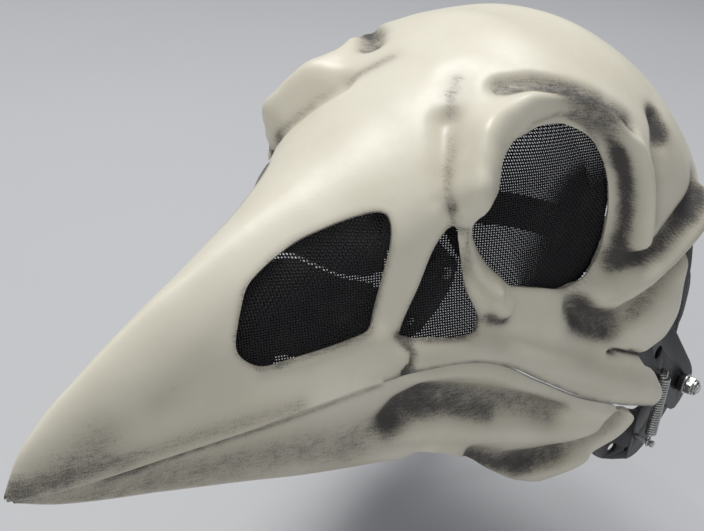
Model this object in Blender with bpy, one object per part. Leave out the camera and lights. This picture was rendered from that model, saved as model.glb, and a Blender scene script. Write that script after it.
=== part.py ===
"""A bird-skull plague doctor mask with a moving lower beak.

The mask is two cast shells. The skull shell carries the hinge plates, the
woven screens, the foam pads and the head straps. The lower beak swings on two
pivot bolts behind the cheeks and two extension springs pull it shut.

Frame: +X is the wearer's left, -Y is the way the beak points, +Z is up. The
origin is the middle of the crown pad's lower face, where the mask rests on
the wearer's head. Every length below is in millimetres until mesh_object
turns it into metres. Heights below are measured from the skull's own datum
plane, and mesh_object lifts everything by DATUM_Z into the finished frame.
"""
import math

import bpy
import bmesh
import numpy as np

MM = 0.001

# Driving dimensions, in millimetres.
DATUM_Z = 6.0
SHELL_WALL = 2.6
PIVOT_Y = 80.0
PIVOT_Z = -200.0
PLATE_INNER_X = 93.0
PLATE_THICKNESS = 2.5
ARM_INNER_X = 88.5
ARM_THICKNESS = 2.5
BOLT_RADIUS = 3.0
BOLT_HOLE_RADIUS = 3.35
JOINT_GAP = 0.3
STRAP_THICKNESS = 2.0
STRAP_WIDTH = 25.0
STRAP_BACK_Y = 120.0
STRAP_Z = -150.0
SPRING_X = 99.2
SPRING_RADIUS = 3.0
SCREW_RADIUS = 1.55
SCREW_HOLE_RADIUS = 1.9
CHIN_RIVET_SEAT_X = 60.4

# Cross-sections of the skull from beak tip to crown, one row each: y, height
# of the midline, half-width and height of the shoulder, half-width and height
# of the lower edge, and the exponent that rounds the roof.
SKULL_STATIONS = np.array([
    (-301, -147.0, 1.0, -148.0, 1.0, -149.5, 1.80),
    (-297, -136.0, 3.5, -144.0, 4.0, -149.0, 1.60),
    (-285, -121.0, 7.5, -136.0, 8.5, -149.0, 1.50),
    (-265, -106.0, 12.5, -128.0, 15.0, -147.5, 1.45),
    (-240, -90.0, 18.0, -119.0, 23.0, -144.5, 1.45),
    (-210, -75.0, 25.0, -107.0, 34.0, -140.0, 1.45),
    (-180, -60.0, 33.0, -94.0, 45.0, -134.0, 1.50),
    (-150, -46.0, 43.0, -80.0, 55.0, -129.0, 1.70),
    (-120, -30.0, 54.0, -66.0, 65.0, -126.5, 1.90),
    (-90, -13.0, 68.0, -54.0, 75.0, -132.5, 2.00),
    (-60, 1.0, 80.0, -50.0, 83.0, -150.5, 2.10),
    (-30, 11.0, 88.0, -54.0, 90.0, -168.5, 2.10),
    (0, 11.0, 94.5, -66.0, 97.5, -182.0, 2.10),
    (25, 4.0, 98.6, -84.0, 102.0, -190.0, 2.05),
    (45, -6.0, 99.5, -102.0, 103.0, -196.0, 2.00),
    (62, -18.0, 98.0, -118.0, 103.0, -200.0, 2.00),
    (76, -32.0, 95.0, -132.0, 103.0, -200.0, 2.00)], float)

# The lower beak, given the same way upside down: its midline is its keel and
# its edge is the rim that meets the skull.
JAW_STATIONS = np.array([
    (-298, -152.5, 1.0, -151.3, 1.0, -150.6, 1.80),
    (-285, -159.0, 6.0, -154.0, 7.5, -149.9, 1.80),
    (-265, -166.0, 11.5, -158.0, 14.0, -148.4, 1.80),
    (-240, -173.0, 18.0, -162.0, 22.0, -145.4, 1.80),
    (-210, -181.0, 26.0, -168.0, 33.0, -140.9, 1.80),
    (-180, -189.0, 35.0, -174.0, 44.0, -134.9, 1.80),
    (-150, -195.0, 44.0, -178.0, 54.0, -130.1, 1.80),
    (-120, -200.0, 53.0, -184.0, 63.5, -128.6, 1.90),
    (-90, -215.0, 62.0, -198.0, 73.0, -135.5, 2.00),
    (-60, -236.0, 70.0, -212.0, 80.5, -154.0, 2.00),
    (-30, -250.0, 77.0, -224.0, 87.0, -173.0, 2.00),
    (0, -254.0, 86.0, -226.0, 92.5, -187.5, 2.00),
    (38, -252.0, 95.0, -222.0, 98.0, -205.0, 2.00)], float)

# Raised bone on the left cheek: points along its crest, its reach, its height.
SKULL_RIDGES = {
    "brow": ([(60, -108, -56), (56, -101, -40), (53, -88, -25), (58, -68, -13), (68, -48, -11),
              (78, -34, -19), (87, -24, -36), (92, -17, -56), (93, -14, -80), (92, -19, -92)],
             11.0, 5.5),
    "eye_bar": ([(61, -108, -60), (61, -105, -74), (66, -98, -90), (72, -90, -104)], 7.0, 4.0),
    "cheekbone": ([(97, 44, -92), (97, 22, -101), (95, 2, -110), (92, -18, -113), (89, -27, -116)],
                  11.0, 5.0),
    "jugal": ([(66, -118, -118), (72, -98, -120), (80, -75, -131), (87, -45, -149), (93, -12, -167),
               (98, 15, -179), (99, 30, -185)], 10.0, 3.0),
}

# Outlines in side view, as (y, z).
EYE_OUTLINE = [(-96, -47), (-86, -33), (-72, -24), (-59, -21), (-46, -23), (-37, -34), (-29, -60),
               (-27, -86), (-40, -98), (-57, -101), (-75, -98), (-92, -84), (-102, -68)]
FENESTRA_OUTLINE = [(-117, -60), (-126, -86), (-140, -112), (-121, -113), (-102, -114),
                    (-99, -109), (-106, -91), (-112, -71)]
NOSTRIL_OUTLINE = [(-138, -56), (-156, -61), (-173, -68), (-188, -78), (-199, -86), (-208, -99),
                   (-208, -108), (-199, -115), (-179, -114), (-163, -110), (-152, -107),
                   (-144, -84), (-139, -65)]
SKULL_REAR = [(120, 30), (74, 30), (74, -30), (70, -42), (61, -56), (49, -72), (42, -87),
              (40, -101), (40.5, -113), (39, -127), (35, -140), (30, -148), (20.5, -151),
              (13, -153.5), (11.5, -157), (15, -162), (21.5, -166), (28, -173), (31, -182),
              (29.5, -191), (23, -197), (23, -215), (120, -215)]
CHEEK_SLIT = [(-16, -145.5), (14, -154.5), (15, -157.5), (-2, -151.5)]
JAW_LOWER = [(-132, -280), (-131, -200), (-129, -190), (-122, -184), (-112, -182.5), (-98, -188),
             (-82, -199), (-60, -215), (-33, -227.5), (-12, -226), (5, -219.5), (20, -215.5),
             (27, -209.5), (27.5, -204), (22, -198.5), (14, -194), (6, -189), (2, -172),
             (60, -172), (60, -280)]
PLATE_OUTLINE = [(12, -150), (16, -134), (24, -125), (35, -125), (43, -137), (50, -150),
                 (64, -165), (82, -183), (92.5, -194.5), (96.2, -203.7), (91.3, -212.4),
                 (82, -220), (72, -216), (62, -206), (50, -194), (38, -182), (22, -169),
                 (13, -160)]
ARM_OUTLINE = [(4, -208), (12, -202), (24, -201), (39, -206.3), (49, -205), (53, -196),
               (61, -190), (72, -187.5), (84, -187.5), (92, -194), (92.5, -206), (86, -218),
               (75, -229), (59, -240), (47, -242), (36, -239.5), (21, -235), (9, -226),
               (5, -218)]


# Screws and rivets, as (y, z), and how far their pockets stop below the bone's face.
PLATE_SCREWS = [(21, -145), (27, -132)]
ARM_SCREWS = [(10, -211), (18, -208)]
STRAP_RIVET = (34.0, -80.0)
CHIN_RIVET = (-46.0, -200.0)
POCKET_END = 0.9
TIP_END = 1.3


# ---------------------------------------------------------------- meshes
def mesh_object(name, points, faces, colour, roughness=0.6, metallic=0.0, cutter=False):
    """Make one named object from points in millimetres, with its own material."""
    mesh = bpy.data.meshes.new(name)
    placed = (np.asarray(points, float) + [0, 0, DATUM_Z]) * MM
    mesh.from_pydata([tuple(p) for p in placed], [], faces)
    form = bmesh.new()
    form.from_mesh(mesh)
    bmesh.ops.recalc_face_normals(form, faces=form.faces)
    form.to_mesh(mesh)
    form.free()
    thing = bpy.data.objects.new(name, mesh)
    bpy.context.scene.collection.objects.link(thing)
    if cutter:
        thing.hide_render = True
        thing.display_type = "WIRE"
        return thing
    finish = bpy.data.materials.new(name)
    finish.use_nodes = True
    shader = finish.node_tree.nodes["Principled BSDF"]
    shader.inputs["Base Color"].default_value = (*colour, 1.0)
    shader.inputs["Roughness"].default_value = roughness
    shader.inputs["Metallic"].default_value = metallic
    mesh.materials.append(finish)
    return thing


def cut(thing, cutters, operation="DIFFERENCE"):
    """Add one exact Boolean for each cutter."""
    for tool in cutters:
        step = thing.modifiers.new(tool.name, "BOOLEAN")
        step.operation = operation
        step.solver = "EXACT"
        step.object = tool


def lofted(rings):
    """Points and faces of a closed body through rings of equal length, capped."""
    rings = np.asarray(rings, float)
    rows, count = rings.shape[:2]
    faces = []
    for i in range(rows - 1):
        for j in range(count):
            k = (j + 1) % count
            faces.append((i * count + j, i * count + k, (i + 1) * count + k, (i + 1) * count + j))
    faces.append(tuple(range(count)))
    faces.append(tuple(range((rows - 1) * count, rows * count)))
    return rings.reshape(-1, 3), faces


def smooth_loop(outline, steps=2):
    """A closed curve through the outline's points, with the given steps between them."""
    knots = np.array(outline, float)
    before, after = np.roll(knots, 1, axis=0), np.roll(knots, -1, axis=0)
    beyond = np.roll(knots, -2, axis=0)
    curve = []
    for t in np.arange(steps) / steps:
        curve.append(0.5 * (2 * knots + (after - before) * t
                            + (2 * before - 5 * knots + 4 * after - beyond) * t * t
                            + (3 * knots - before - 3 * after + beyond) * t ** 3))
    return np.stack(curve, axis=1).reshape(-1, 2)


def grown(outline, amount):
    """Move each point of an outline away from the outline's middle."""
    outline = np.array(outline, float)
    away = outline - outline.mean(axis=0)
    return outline + amount * away / np.linalg.norm(away, axis=1)[:, None]


def prism(name, outline, x_a, x_b, **look):
    """An outline in side view, carried along X from x_a to x_b."""
    outline = np.asarray(outline, float)
    rings = [np.column_stack([np.full(len(outline), x), outline]) for x in (x_a, x_b)]
    return mesh_object(name, *lofted(rings), look.pop("colour", (0, 0, 0)), **look)


def turned(name, profile, y, z, side, sides=16, **look):
    """A round piece about a line along X, from (distance out, radius) pairs."""
    angles = np.arange(sides) * 2 * math.pi / sides
    rings = []
    for x, radius in profile:
        rings.append(np.column_stack([np.full(sides, side * x), y + radius * np.cos(angles),
                                      z + radius * np.sin(angles)]))
    return mesh_object(name, *lofted(rings), look.pop("colour", (0, 0, 0)), **look)


def bore(name, y, z, x_a, x_b, radius, side=1):
    """A cutter for a round hole along X."""
    return turned(name, [(x_a, radius), (x_b, radius)], y, z, side, cutter=True)


# ---------------------------------------------------------------- the bone surfaces
def between_stations(stations, y):
    """Read the stations at y, by a cubic whose slopes never overshoot."""
    at, values = stations[:, 0], stations[:, 1:]
    slope = np.diff(values, axis=0) / np.diff(at)[:, None]
    inner = np.where(slope[:-1] * slope[1:] > 0,
                     np.sign(slope[1:]) * np.minimum(np.abs(slope[:-1] + slope[1:]) / 2,
                                                     3 * np.minimum(abs(slope[:-1]),
                                                                    abs(slope[1:]))), 0)
    slopes = np.vstack([slope[:1], inner, slope[-1:]])
    k = np.clip(np.searchsorted(at, y) - 1, 0, len(at) - 2)
    width = (at[k + 1] - at[k])[..., None]
    t = ((y - at[k]) / (at[k + 1] - at[k]))[..., None]
    return ((1 + 2 * t) * (1 - t) ** 2 * values[k] + t * (1 - t) ** 2 * width * slopes[k]
            + t * t * (3 - 2 * t) * values[k + 1] + t * t * (t - 1) * width * slopes[k + 1])


ROOF_SHARE = 0.55


def bone_points(stations, y, s, inset=0.0):
    """Points of a shell: s runs from the midline (0) to the lower edge (1).

    The roof is a rounded arch down to the shoulder, and the wall below it is
    nearly straight. inset moves the whole section inwards.
    """
    row = between_stations(stations, y)
    top, wide, shoulder, foot_wide, foot, power = [row[..., i] for i in range(6)]
    toward = np.sign(shoulder - top)
    top = top + toward * inset
    wide, foot_wide = np.maximum(wide - inset, 0.3), np.maximum(foot_wide - inset, 0.3)
    angle = np.clip(s / ROOF_SHARE, 0, 1) * math.pi / 2
    t = np.clip((s - ROOF_SHARE) / (1 - ROOF_SHARE), 0, 1)
    roof_x = wide * np.sin(angle) ** (2 / power)
    roof_z = shoulder + (top - shoulder) * np.clip(np.cos(angle), 0, 1) ** (2 / power)
    wall_x = wide + (foot_wide - wide) * t ** 1.6
    wall_z = shoulder + (foot - shoulder) * t
    on_roof = s < ROOF_SHARE
    return np.stack([np.where(on_roof, roof_x, wall_x), y + 0 * s,
                     np.where(on_roof, roof_z, wall_z)], axis=-1)


def wall_x(stations, y, z):
    """Half-width of a shell's outer face at one point of the side view."""
    s = np.linspace(0, 1, 400)
    curve = bone_points(stations, np.full(400, float(y)), s)
    order = np.argsort(curve[:, 2])
    return float(np.interp(z, curve[order, 2], curve[order, 0]))


def distance_to_line(points, line):
    """Distance from each point to a line of straight stretches, on either side of the face."""
    points = points * [1, 1, 1]
    points[..., 0] = np.abs(points[..., 0])
    line = np.array(line, float)
    nearest = np.full(points.shape[:-1], 1e9)
    for start, end in zip(line[:-1], line[1:]):
        run = end - start
        t = np.clip(((points - start) @ run) / (run @ run), 0, 1)
        nearest = np.minimum(nearest, np.linalg.norm(points - start - t[..., None] * run, axis=-1))
    return nearest


def raised(points, ridges):
    """Lift a grid of points along its normals where the ridges run."""
    normal = np.cross(np.gradient(points, axis=0), np.gradient(points, axis=1))
    normal /= np.linalg.norm(normal, axis=-1)[..., None] + 1e-9
    outward = np.sign(np.sum(normal * (points - points.mean(axis=1, keepdims=True)), axis=-1))
    lift = np.zeros(points.shape[:-1])
    for line, reach, height in ridges.values():
        lift = np.maximum(lift, height * np.exp(-(distance_to_line(points, line) / reach) ** 2))
    return points + normal * (outward * lift)[..., None]


def bone_rings(stations, rows, inset=0.0, foot_drop=0.0, ridges=None):
    """Rings across both sides of a shell, from one edge over the midline to the other."""
    s = np.concatenate([np.linspace(0, ROOF_SHARE, 9)[:-1], np.linspace(ROOF_SHARE, 1, 6)])
    y_grid, s_grid = np.meshgrid(rows, s, indexing="ij")
    half = bone_points(stations, y_grid, s_grid, inset)
    if foot_drop:
        last = half[:, -1:] * [1, 1, 1]
        last[..., 2] += foot_drop
        half = np.concatenate([half, last], axis=1)
    rings = np.concatenate([(half * [-1, 1, 1])[:, :0:-1], half], axis=1)
    if ridges:
        rings = raised(rings, ridges)
        rings[:, [0, -1]] = np.stack([half[:, -1] * [-1, 1, 1], half[:, -1]], axis=1)
    return rings


SKULL_ROWS = np.concatenate([[-301, -298, -293, -285, -276], np.linspace(-266, 76, 33)])
JAW_ROWS = np.concatenate([[-298, -294, -285, -276], np.linspace(-266, 38, 27)])
BONE = (0.78, 0.74, 0.64)
BLACK = (0.02, 0.02, 0.022)
STEEL = (0.62, 0.62, 0.60)


def make_skull():
    """The upper shell: one hollow casting, open below and behind, with six windows."""
    outer = bone_rings(SKULL_STATIONS, SKULL_ROWS, ridges=SKULL_RIDGES)
    skull = mesh_object("skull_shell", *lofted(outer), BONE, 0.45)
    hollow_rows = np.append(SKULL_ROWS[SKULL_ROWS > -262], 90.0)
    hollow = bone_rings(SKULL_STATIONS, np.minimum(hollow_rows, 76), SHELL_WALL, -14.0)
    hollow[..., 1] = hollow_rows[:, None]
    cutters = [mesh_object("skull_hollow", *lofted(hollow), BONE, cutter=True),
               prism("skull_rear_cut", SKULL_REAR, -130, 130, cutter=True),
               prism("eye_cut", smooth_loop(EYE_OUTLINE), -130, 130, cutter=True),
               prism("fenestra_cut", smooth_loop(FENESTRA_OUTLINE), -130, 130, cutter=True),
               prism("nostril_cut", smooth_loop(NOSTRIL_OUTLINE), -130, 130, cutter=True)]
    for side, word in ((1, "left"), (-1, "right")):
        cutters.append(prism("slit_cut_" + word, CHEEK_SLIT, side * 70, side * 130, cutter=True))
        for k, (y, z) in enumerate(PLATE_SCREWS):
            end = wall_x(SKULL_STATIONS, y, z) - POCKET_END
            cutters.append(bore(f"plate_screw_pocket_{word}_{k}", y, z, 70, end, SCREW_HOLE_RADIUS,
                            side))
        end = wall_x(SKULL_STATIONS, *STRAP_RIVET) - POCKET_END
        cutters.append(bore("strap_rivet_pocket_" + word, *STRAP_RIVET, 70, end, SCREW_HOLE_RADIUS,
                            side))
    cut(skull, cutters)


def make_jaw():
    """The lower beak: a trough at the front and two arched cheeks behind."""
    outer = bone_rings(JAW_STATIONS, JAW_ROWS)
    jaw = mesh_object("lower_jaw_shell", *lofted(outer), BONE, 0.45)
    hollow_rows = np.append(JAW_ROWS[JAW_ROWS > -262], 50.0)
    hollow = bone_rings(JAW_STATIONS, np.minimum(hollow_rows, 38), SHELL_WALL, 14.0)
    hollow[..., 1] = hollow_rows[:, None]
    cutters = [mesh_object("jaw_hollow", *lofted(hollow), BONE, cutter=True),
               prism("jaw_lower_cut", JAW_LOWER, -130, 130, cutter=True)]
    for side, word in ((1, "left"), (-1, "right")):
        for k, (y, z) in enumerate(ARM_SCREWS):
            end = wall_x(JAW_STATIONS, y, z) - POCKET_END
            cutters.append(bore(f"arm_screw_pocket_{word}_{k}", y, z, 70, end, SCREW_HOLE_RADIUS,
                            side))
        end = wall_x(JAW_STATIONS, *CHIN_RIVET) - POCKET_END
        cutters.append(bore("chin_rivet_pocket_" + word, *CHIN_RIVET, 55, end, SCREW_HOLE_RADIUS,
                            side))
    cut(jaw, cutters)


# ---------------------------------------------------------------- screens
def make_screens():
    """Woven black screens glued behind the six windows, 0.9 mm off the shell."""
    rows = SKULL_ROWS[(SKULL_ROWS > -225) & (SKULL_ROWS < -10)]
    s = np.concatenate([np.linspace(0, ROOF_SHARE, 9)[1:-1], np.linspace(ROOF_SHARE, 1, 6)])
    y_grid, s_grid = np.meshgrid(rows, s, indexing="ij")
    near = bone_points(SKULL_STATIONS, y_grid, s_grid, SHELL_WALL + 0.9)
    far = bone_points(SKULL_STATIONS, y_grid, s_grid, SHELL_WALL + 2.1)
    rings = np.concatenate([near, far[:, ::-1]], axis=1)
    for side, word in ((1, "left"), (-1, "right")):
        for kind, outline in (("eye", EYE_OUTLINE), ("fenestra", FENESTRA_OUTLINE),
                              ("nostril", NOSTRIL_OUTLINE)):
            screen = mesh_object(f"{kind}_screen_{word}", *lofted(rings * [side, 1, 1]), BLACK, 0.6)
            blank = prism(f"{kind}_blank_{word}", grown(smooth_loop(outline), 3.0),
                          side * 5, side * 130, cutter=True)
            cut(screen, [blank], "INTERSECT")


# ---------------------------------------------------------------- hinge
SPRING_POST = (46.0, -227.0)
SPRING_HOLE = (50.0, -181.0)
PLATE_OUTER_X = PLATE_INNER_X + PLATE_THICKNESS
ARM_OUTER_X = ARM_INNER_X + ARM_THICKNESS
ARM_BEND = [(22.0, -6.0), (40.0, 0.0)]


def make_plate(side, word):
    """A flat steel plate screwed inside the cheek, which carries the pivot bolt."""
    plate = prism("hinge_plate_" + word, smooth_loop(PLATE_OUTLINE, 2), side * PLATE_INNER_X,
                  side * PLATE_OUTER_X, colour=BLACK, roughness=0.35, metallic=0.6)
    holes = [(PIVOT_Y, PIVOT_Z, BOLT_HOLE_RADIUS), (38.9, -164.7, 4.0), (*SPRING_HOLE, 1.6)]
    holes += [(y, z, SCREW_HOLE_RADIUS) for y, z in PLATE_SCREWS]
    cut(plate, [bore(f"plate_hole_{word}_{k}", y, z, 80, 110, r, side)
                for k, (y, z, r) in enumerate(holes)])


def make_arm(side, word):
    """A steel arm that joins the lower beak to the pivot, stepped inwards at its front."""
    outline = smooth_loop(ARM_OUTLINE, 2)
    rings = [np.column_stack([np.full(len(outline), side * x), outline])
             for x in (ARM_INNER_X, ARM_OUTER_X)]
    arm = mesh_object("jaw_arm_" + word, *lofted(rings), BLACK, 0.35, 0.6)
    form = bmesh.new()
    form.from_mesh(arm.data)
    for y, _ in ARM_BEND:
        bmesh.ops.bisect_plane(form, geom=form.verts[:] + form.edges[:] + form.faces[:],
                               plane_co=(0, y * MM, 0), plane_no=(0, 1, 0), dist=1e-7)
    bend_y, bend_x = np.array(ARM_BEND).T
    for vertex in form.verts:
        vertex.co.x += side * MM * np.interp(vertex.co.y / MM, bend_y, bend_x)
    form.to_mesh(arm.data)
    form.free()
    holes = [(PIVOT_Y, PIVOT_Z, BOLT_HOLE_RADIUS), (27.0, -229.0, 3.2), (38.0, -233.0, 1.5),
             (*SPRING_POST, SCREW_HOLE_RADIUS)]
    holes += [(y, z, SCREW_HOLE_RADIUS) for y, z in ARM_SCREWS]
    cut(arm, [bore(f"arm_hole_{word}_{k}", y, z, 70, 110, r, side)
              for k, (y, z, r) in enumerate(holes)])


def make_pivot(side, word):
    """The pivot bolt with its inner washer, outer spacer, outer washer and lock nut."""
    g = JOINT_GAP
    head = ARM_INNER_X - g
    spacer = PLATE_OUTER_X + g
    washer = spacer + 3.0 + g
    nut = washer + 1.2 + g
    turned("pivot_bolt_" + word, [(head - 3.4, 3.6), (head - 2.4, 5.2), (head, 5.2),
                                  (head, BOLT_RADIUS), (nut + 6.6, BOLT_RADIUS),
                                  (nut + 7.2, BOLT_RADIUS - 0.6)],
           PIVOT_Y, PIVOT_Z, side, colour=STEEL, roughness=0.3, metallic=1.0)
    rings = [("pivot_washer_", ARM_OUTER_X + g, 1.4, 8.0, 16, BLACK, 0.0),
             ("outer_spacer_", spacer, 3.0, 5.6, 16, BLACK, 0.0),
             ("outer_washer_", washer, 1.2, 6.2, 16, STEEL, 1.0),
             ("lock_nut_", nut, 5.6, 5.8, 6, STEEL, 1.0)]
    for name, start, thick, radius, sides, colour, metallic in rings:
        ring = turned(name + word, [(start, radius), (start + thick, radius)], PIVOT_Y, PIVOT_Z,
                      side, sides, colour=colour, roughness=0.35, metallic=metallic)
        cut(ring, [bore(name + "bore_" + word, PIVOT_Y, PIVOT_Z, start - 5, start + thick + 5,
                        BOLT_HOLE_RADIUS, side)])


def make_fasteners(side, word):
    """Small screws, rivets and the spring posts, each with a domed head on the inside."""
    def screw(name, y, z, seat, tip, head_radius=3.2, head_height=1.8):
        turned(name, [(seat - head_height, head_radius * 0.6), (seat - 0.8, head_radius),
                      (seat, head_radius), (seat, SCREW_RADIUS), (tip, SCREW_RADIUS)], y, z, side, 12,
               colour=STEEL, roughness=0.35, metallic=1.0)

    for k, (y, z) in enumerate(PLATE_SCREWS):
        screw(f"plate_screw_{word}_{k + 1}", y, z, PLATE_INNER_X - JOINT_GAP,
              wall_x(SKULL_STATIONS, y, z) - TIP_END)
    arm_seat = ARM_INNER_X + ARM_BEND[0][1] - JOINT_GAP
    for k, (y, z) in enumerate(ARM_SCREWS):
        screw(f"arm_screw_{word}_{k + 1}", y, z, arm_seat, wall_x(JAW_STATIONS, y, z) - TIP_END)
    screw("spring_post_" + word, *SPRING_POST, ARM_INNER_X - JOINT_GAP, SPRING_X + 3.4)
    screw("strap_rivet_" + word, *STRAP_RIVET, STRAP_TOP_X - JOINT_GAP,
          wall_x(SKULL_STATIONS, *STRAP_RIVET) - TIP_END, 4.0, 1.4)
    screw("chin_rivet_" + word, *CHIN_RIVET, CHIN_RIVET_SEAT_X,
          wall_x(JAW_STATIONS, *CHIN_RIVET) - TIP_END, 4.0, 1.4)


def make_spring(side, word):
    """An extension spring from the plate's small hole to the post on the arm."""
    top = np.array([SPRING_X, SPRING_HOLE[0] - 2.5, SPRING_HOLE[1] + 1.0])
    bottom = np.array([SPRING_X, SPRING_POST[0], SPRING_POST[1] + 4.2])
    along = (bottom - top) / np.linalg.norm(bottom - top)
    across = np.cross(along, [1.0, 0.0, 0.0])
    angles = np.arange(12) * math.pi / 6
    circle = np.outer(np.cos(angles), [1.0, 0.0, 0.0]) + np.outer(np.sin(angles), across)
    shape = [(0.0, 0.9), (5.0, 0.9), (6.0, SPRING_RADIUS), (0.86, SPRING_RADIUS), (0.9, 0.9),
             (1.0, 0.9)]
    length = np.linalg.norm(bottom - top)
    rings = [top + along * (d if d == 0.0 or d > 1.0 else d * length) + circle * r
             for d, r in shape]
    mesh_object("return_spring_" + word, *lofted(np.array(rings) * [side, 1, 1]), STEEL, 0.3, 1.0)


# ---------------------------------------------------------------- pads and straps
def roof_height(x, y, inset):
    """Height of the skull's inside roof above a point of the plan."""
    top, wide, shoulder, _, _, power = np.moveaxis(between_stations(SKULL_STATIONS, y), -1, 0)
    top, wide = top - inset, wide - inset
    return shoulder + (top - shoulder) * (1 - (np.abs(x) / wide) ** power) ** (1 / power)


def roof_pad(name, half_x, y_a, y_b, bottom, inset):
    """A foam block under the roof, flat below and shaped to the roof above."""
    rows = np.linspace(y_a, y_b, 6)
    across = np.linspace(-half_x, half_x, 9)
    y_grid, x_grid = np.meshgrid(rows, across, indexing="ij")
    upper = np.stack([x_grid, y_grid, roof_height(x_grid, y_grid, inset)], axis=-1)
    lower = upper[:, ::-1] * [1, 1, 0] + [0, 0, bottom]
    mesh_object(name, *lofted(np.concatenate([upper, lower], axis=1)), (0.03, 0.03, 0.03), 0.95)


def make_pads():
    """Foam pads for the crown, the forehead and both sides of the head."""
    roof_pad("crown_pad", 28.0, -26.0, 26.0, -DATUM_Z, SHELL_WALL + 1.2)
    roof_pad("brow_pad", 34.0, -98.0, -74.0, -46.0, SHELL_WALL + 1.4)
    for side, word in ((1, "left"), (-1, "right")):
        outline = smooth_loop([(-18, -74), (20, -74), (24, -96), (20, -118), (-18, -118),
                               (-22, -96)])
        prism("side_pad_" + word, outline, side * 76.0, side * 85.5, colour=(0.03, 0.03, 0.03),
              roughness=0.95)


def band(name, path, wide_from, wide_to, thickness, level_axis):
    """Webbing: a flat band along a path of two coordinates, with its width along the third."""
    path = np.array(path, float)
    run = np.gradient(path, axis=0)
    side = np.stack([-run[:, 1], run[:, 0]], axis=1)
    side /= np.linalg.norm(side, axis=1)[:, None]
    rings = []
    for offset, level in ((0, wide_from), (0, wide_to), (1, wide_to), (1, wide_from)):
        corner = path + side * offset * thickness
        rings.append(np.insert(corner, level_axis, level, axis=1))
    return mesh_object(name, *lofted(np.stack(rings, axis=1)), BLACK, 0.85)


def smooth_path(points, steps):
    """An open curve through the points, with the given steps between them."""
    points = np.array(points, float)
    ends = np.vstack([2 * points[0] - points[1], points, 2 * points[-1] - points[-2]])
    curve = []
    for k in range(1, len(ends) - 2):
        a, b, c, d = ends[k - 1:k + 3]
        for t in np.arange(steps) / steps:
            curve.append(0.5 * (2 * b + (c - a) * t + (2 * a - 5 * b + 4 * c - d) * t * t
                                + (3 * b - a - 3 * c + d) * t ** 3))
    return np.array(curve + [points[-1]])


STRAP_TOP_X = 88.4
NAPE_HALF = [(0, STRAP_BACK_Y), (17, STRAP_BACK_Y), (34, STRAP_BACK_Y), (56, 115), (74, 103),
             (85, 86), (90, 68), (90.6, 50)]
CHIN_HALF = [(0, -222), (22, -221.5), (42, -218.5), (55.5, -211.5), (63.8, -203), (67.6, -193)]


def make_straps():
    """Nylon webbing: one band round the nape, one up each side, one under the chin."""
    half = smooth_path(NAPE_HALF, 2)
    whole = np.vstack([(half * [-1, 1])[:0:-1], half])
    band("nape_strap", whole, STRAP_Z - STRAP_WIDTH / 2, STRAP_Z + STRAP_WIDTH / 2,
         -STRAP_THICKNESS, 2)
    half = smooth_path(CHIN_HALF, 2)
    whole = np.vstack([(half * [-1, 1])[:0:-1], half])
    sling = band("chin_strap", whole, CHIN_RIVET[0] - STRAP_WIDTH / 2,
                 CHIN_RIVET[0] + STRAP_WIDTH / 2, STRAP_THICKNESS, 1)
    cut(sling, [bore("chin_strap_hole_" + word, *CHIN_RIVET, 50, 80, SCREW_HOLE_RADIUS, side)
                for side, word in ((1, "left"), (-1, "right"))])
    for side, word in ((1, "left"), (-1, "right")):
        rings = []
        for y, z, x in ((52, -174, 91.0), (53, -150, 91.0), (52, -122, 90.4), (46, -102, 89.6),
                        (38, -86, STRAP_TOP_X), (29, -72, STRAP_TOP_X)):
            y_a, y_b = y - STRAP_WIDTH / 2, y + STRAP_WIDTH / 2
            slant = 0.5 if z > -110 else 0.15
            rings.append([(side * x, y_a, z - slant * 8), (side * x, y_b, z + slant * 8),
                          (side * (x + 1.7), y_b, z + slant * 8),
                          (side * (x + 1.7), y_a, z - slant * 8)])
        strap = mesh_object("side_strap_" + word, *lofted(rings), BLACK, 0.85)
        cut(strap, [bore("strap_rivet_hole_" + word, *STRAP_RIVET, 80, 110, SCREW_HOLE_RADIUS, side)])


SLIDER_GAP = 0.5
SLIDER_BAR = 2.6
SLIDER_WALL = 1.8
SLIDER_HALF_WIDTH = 11.0


def make_chin_and_slider():
    """The foam chin cup on its strap, and the slider that shortens the nape strap."""
    rows = np.linspace(-64, -28, 5)
    across = np.linspace(-30, 30, 7)
    y_grid, x_grid = np.meshgrid(rows, across, indexing="ij")
    dish = -208 + 3.0 * (x_grid / 30) ** 2
    upper = np.stack([x_grid, y_grid, dish], axis=-1)
    lower = upper[:, ::-1] * [1, 1, 0] + [0, 0, -217.6]
    mesh_object("chin_pad", *lofted(np.concatenate([upper, lower], axis=1)), (0.03, 0.03, 0.03),
                0.95)
    g = SLIDER_GAP
    y_in, y_out = STRAP_BACK_Y - STRAP_THICKNESS - g, STRAP_BACK_Y + g
    reach = STRAP_WIDTH / 2 + g
    bar, wall = SLIDER_BAR, SLIDER_WALL
    frame = prism("strap_slider", [(y_in - wall, STRAP_Z - reach - bar),
                                   (y_out + wall, STRAP_Z - reach - bar),
                                   (y_out + wall, STRAP_Z + reach + bar),
                                   (y_in - wall, STRAP_Z + reach + bar)],
                  -SLIDER_HALF_WIDTH, SLIDER_HALF_WIDTH, colour=BLACK)
    tunnel = prism("slider_tunnel", [(y_in, STRAP_Z - reach), (y_out, STRAP_Z - reach),
                                     (y_out, STRAP_Z + reach), (y_in, STRAP_Z + reach)],
                   -20, 20, cutter=True)
    window = mesh_object("slider_window", *lofted([[(x, y, z) for y, z in (
        (STRAP_BACK_Y, STRAP_Z - 10), (STRAP_BACK_Y + 12, STRAP_Z - 10),
        (STRAP_BACK_Y + 12, STRAP_Z + 10), (STRAP_BACK_Y, STRAP_Z + 10))]
        for x in (-8, 8)]), BLACK, cutter=True)
    cut(frame, [tunnel, window])


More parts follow.
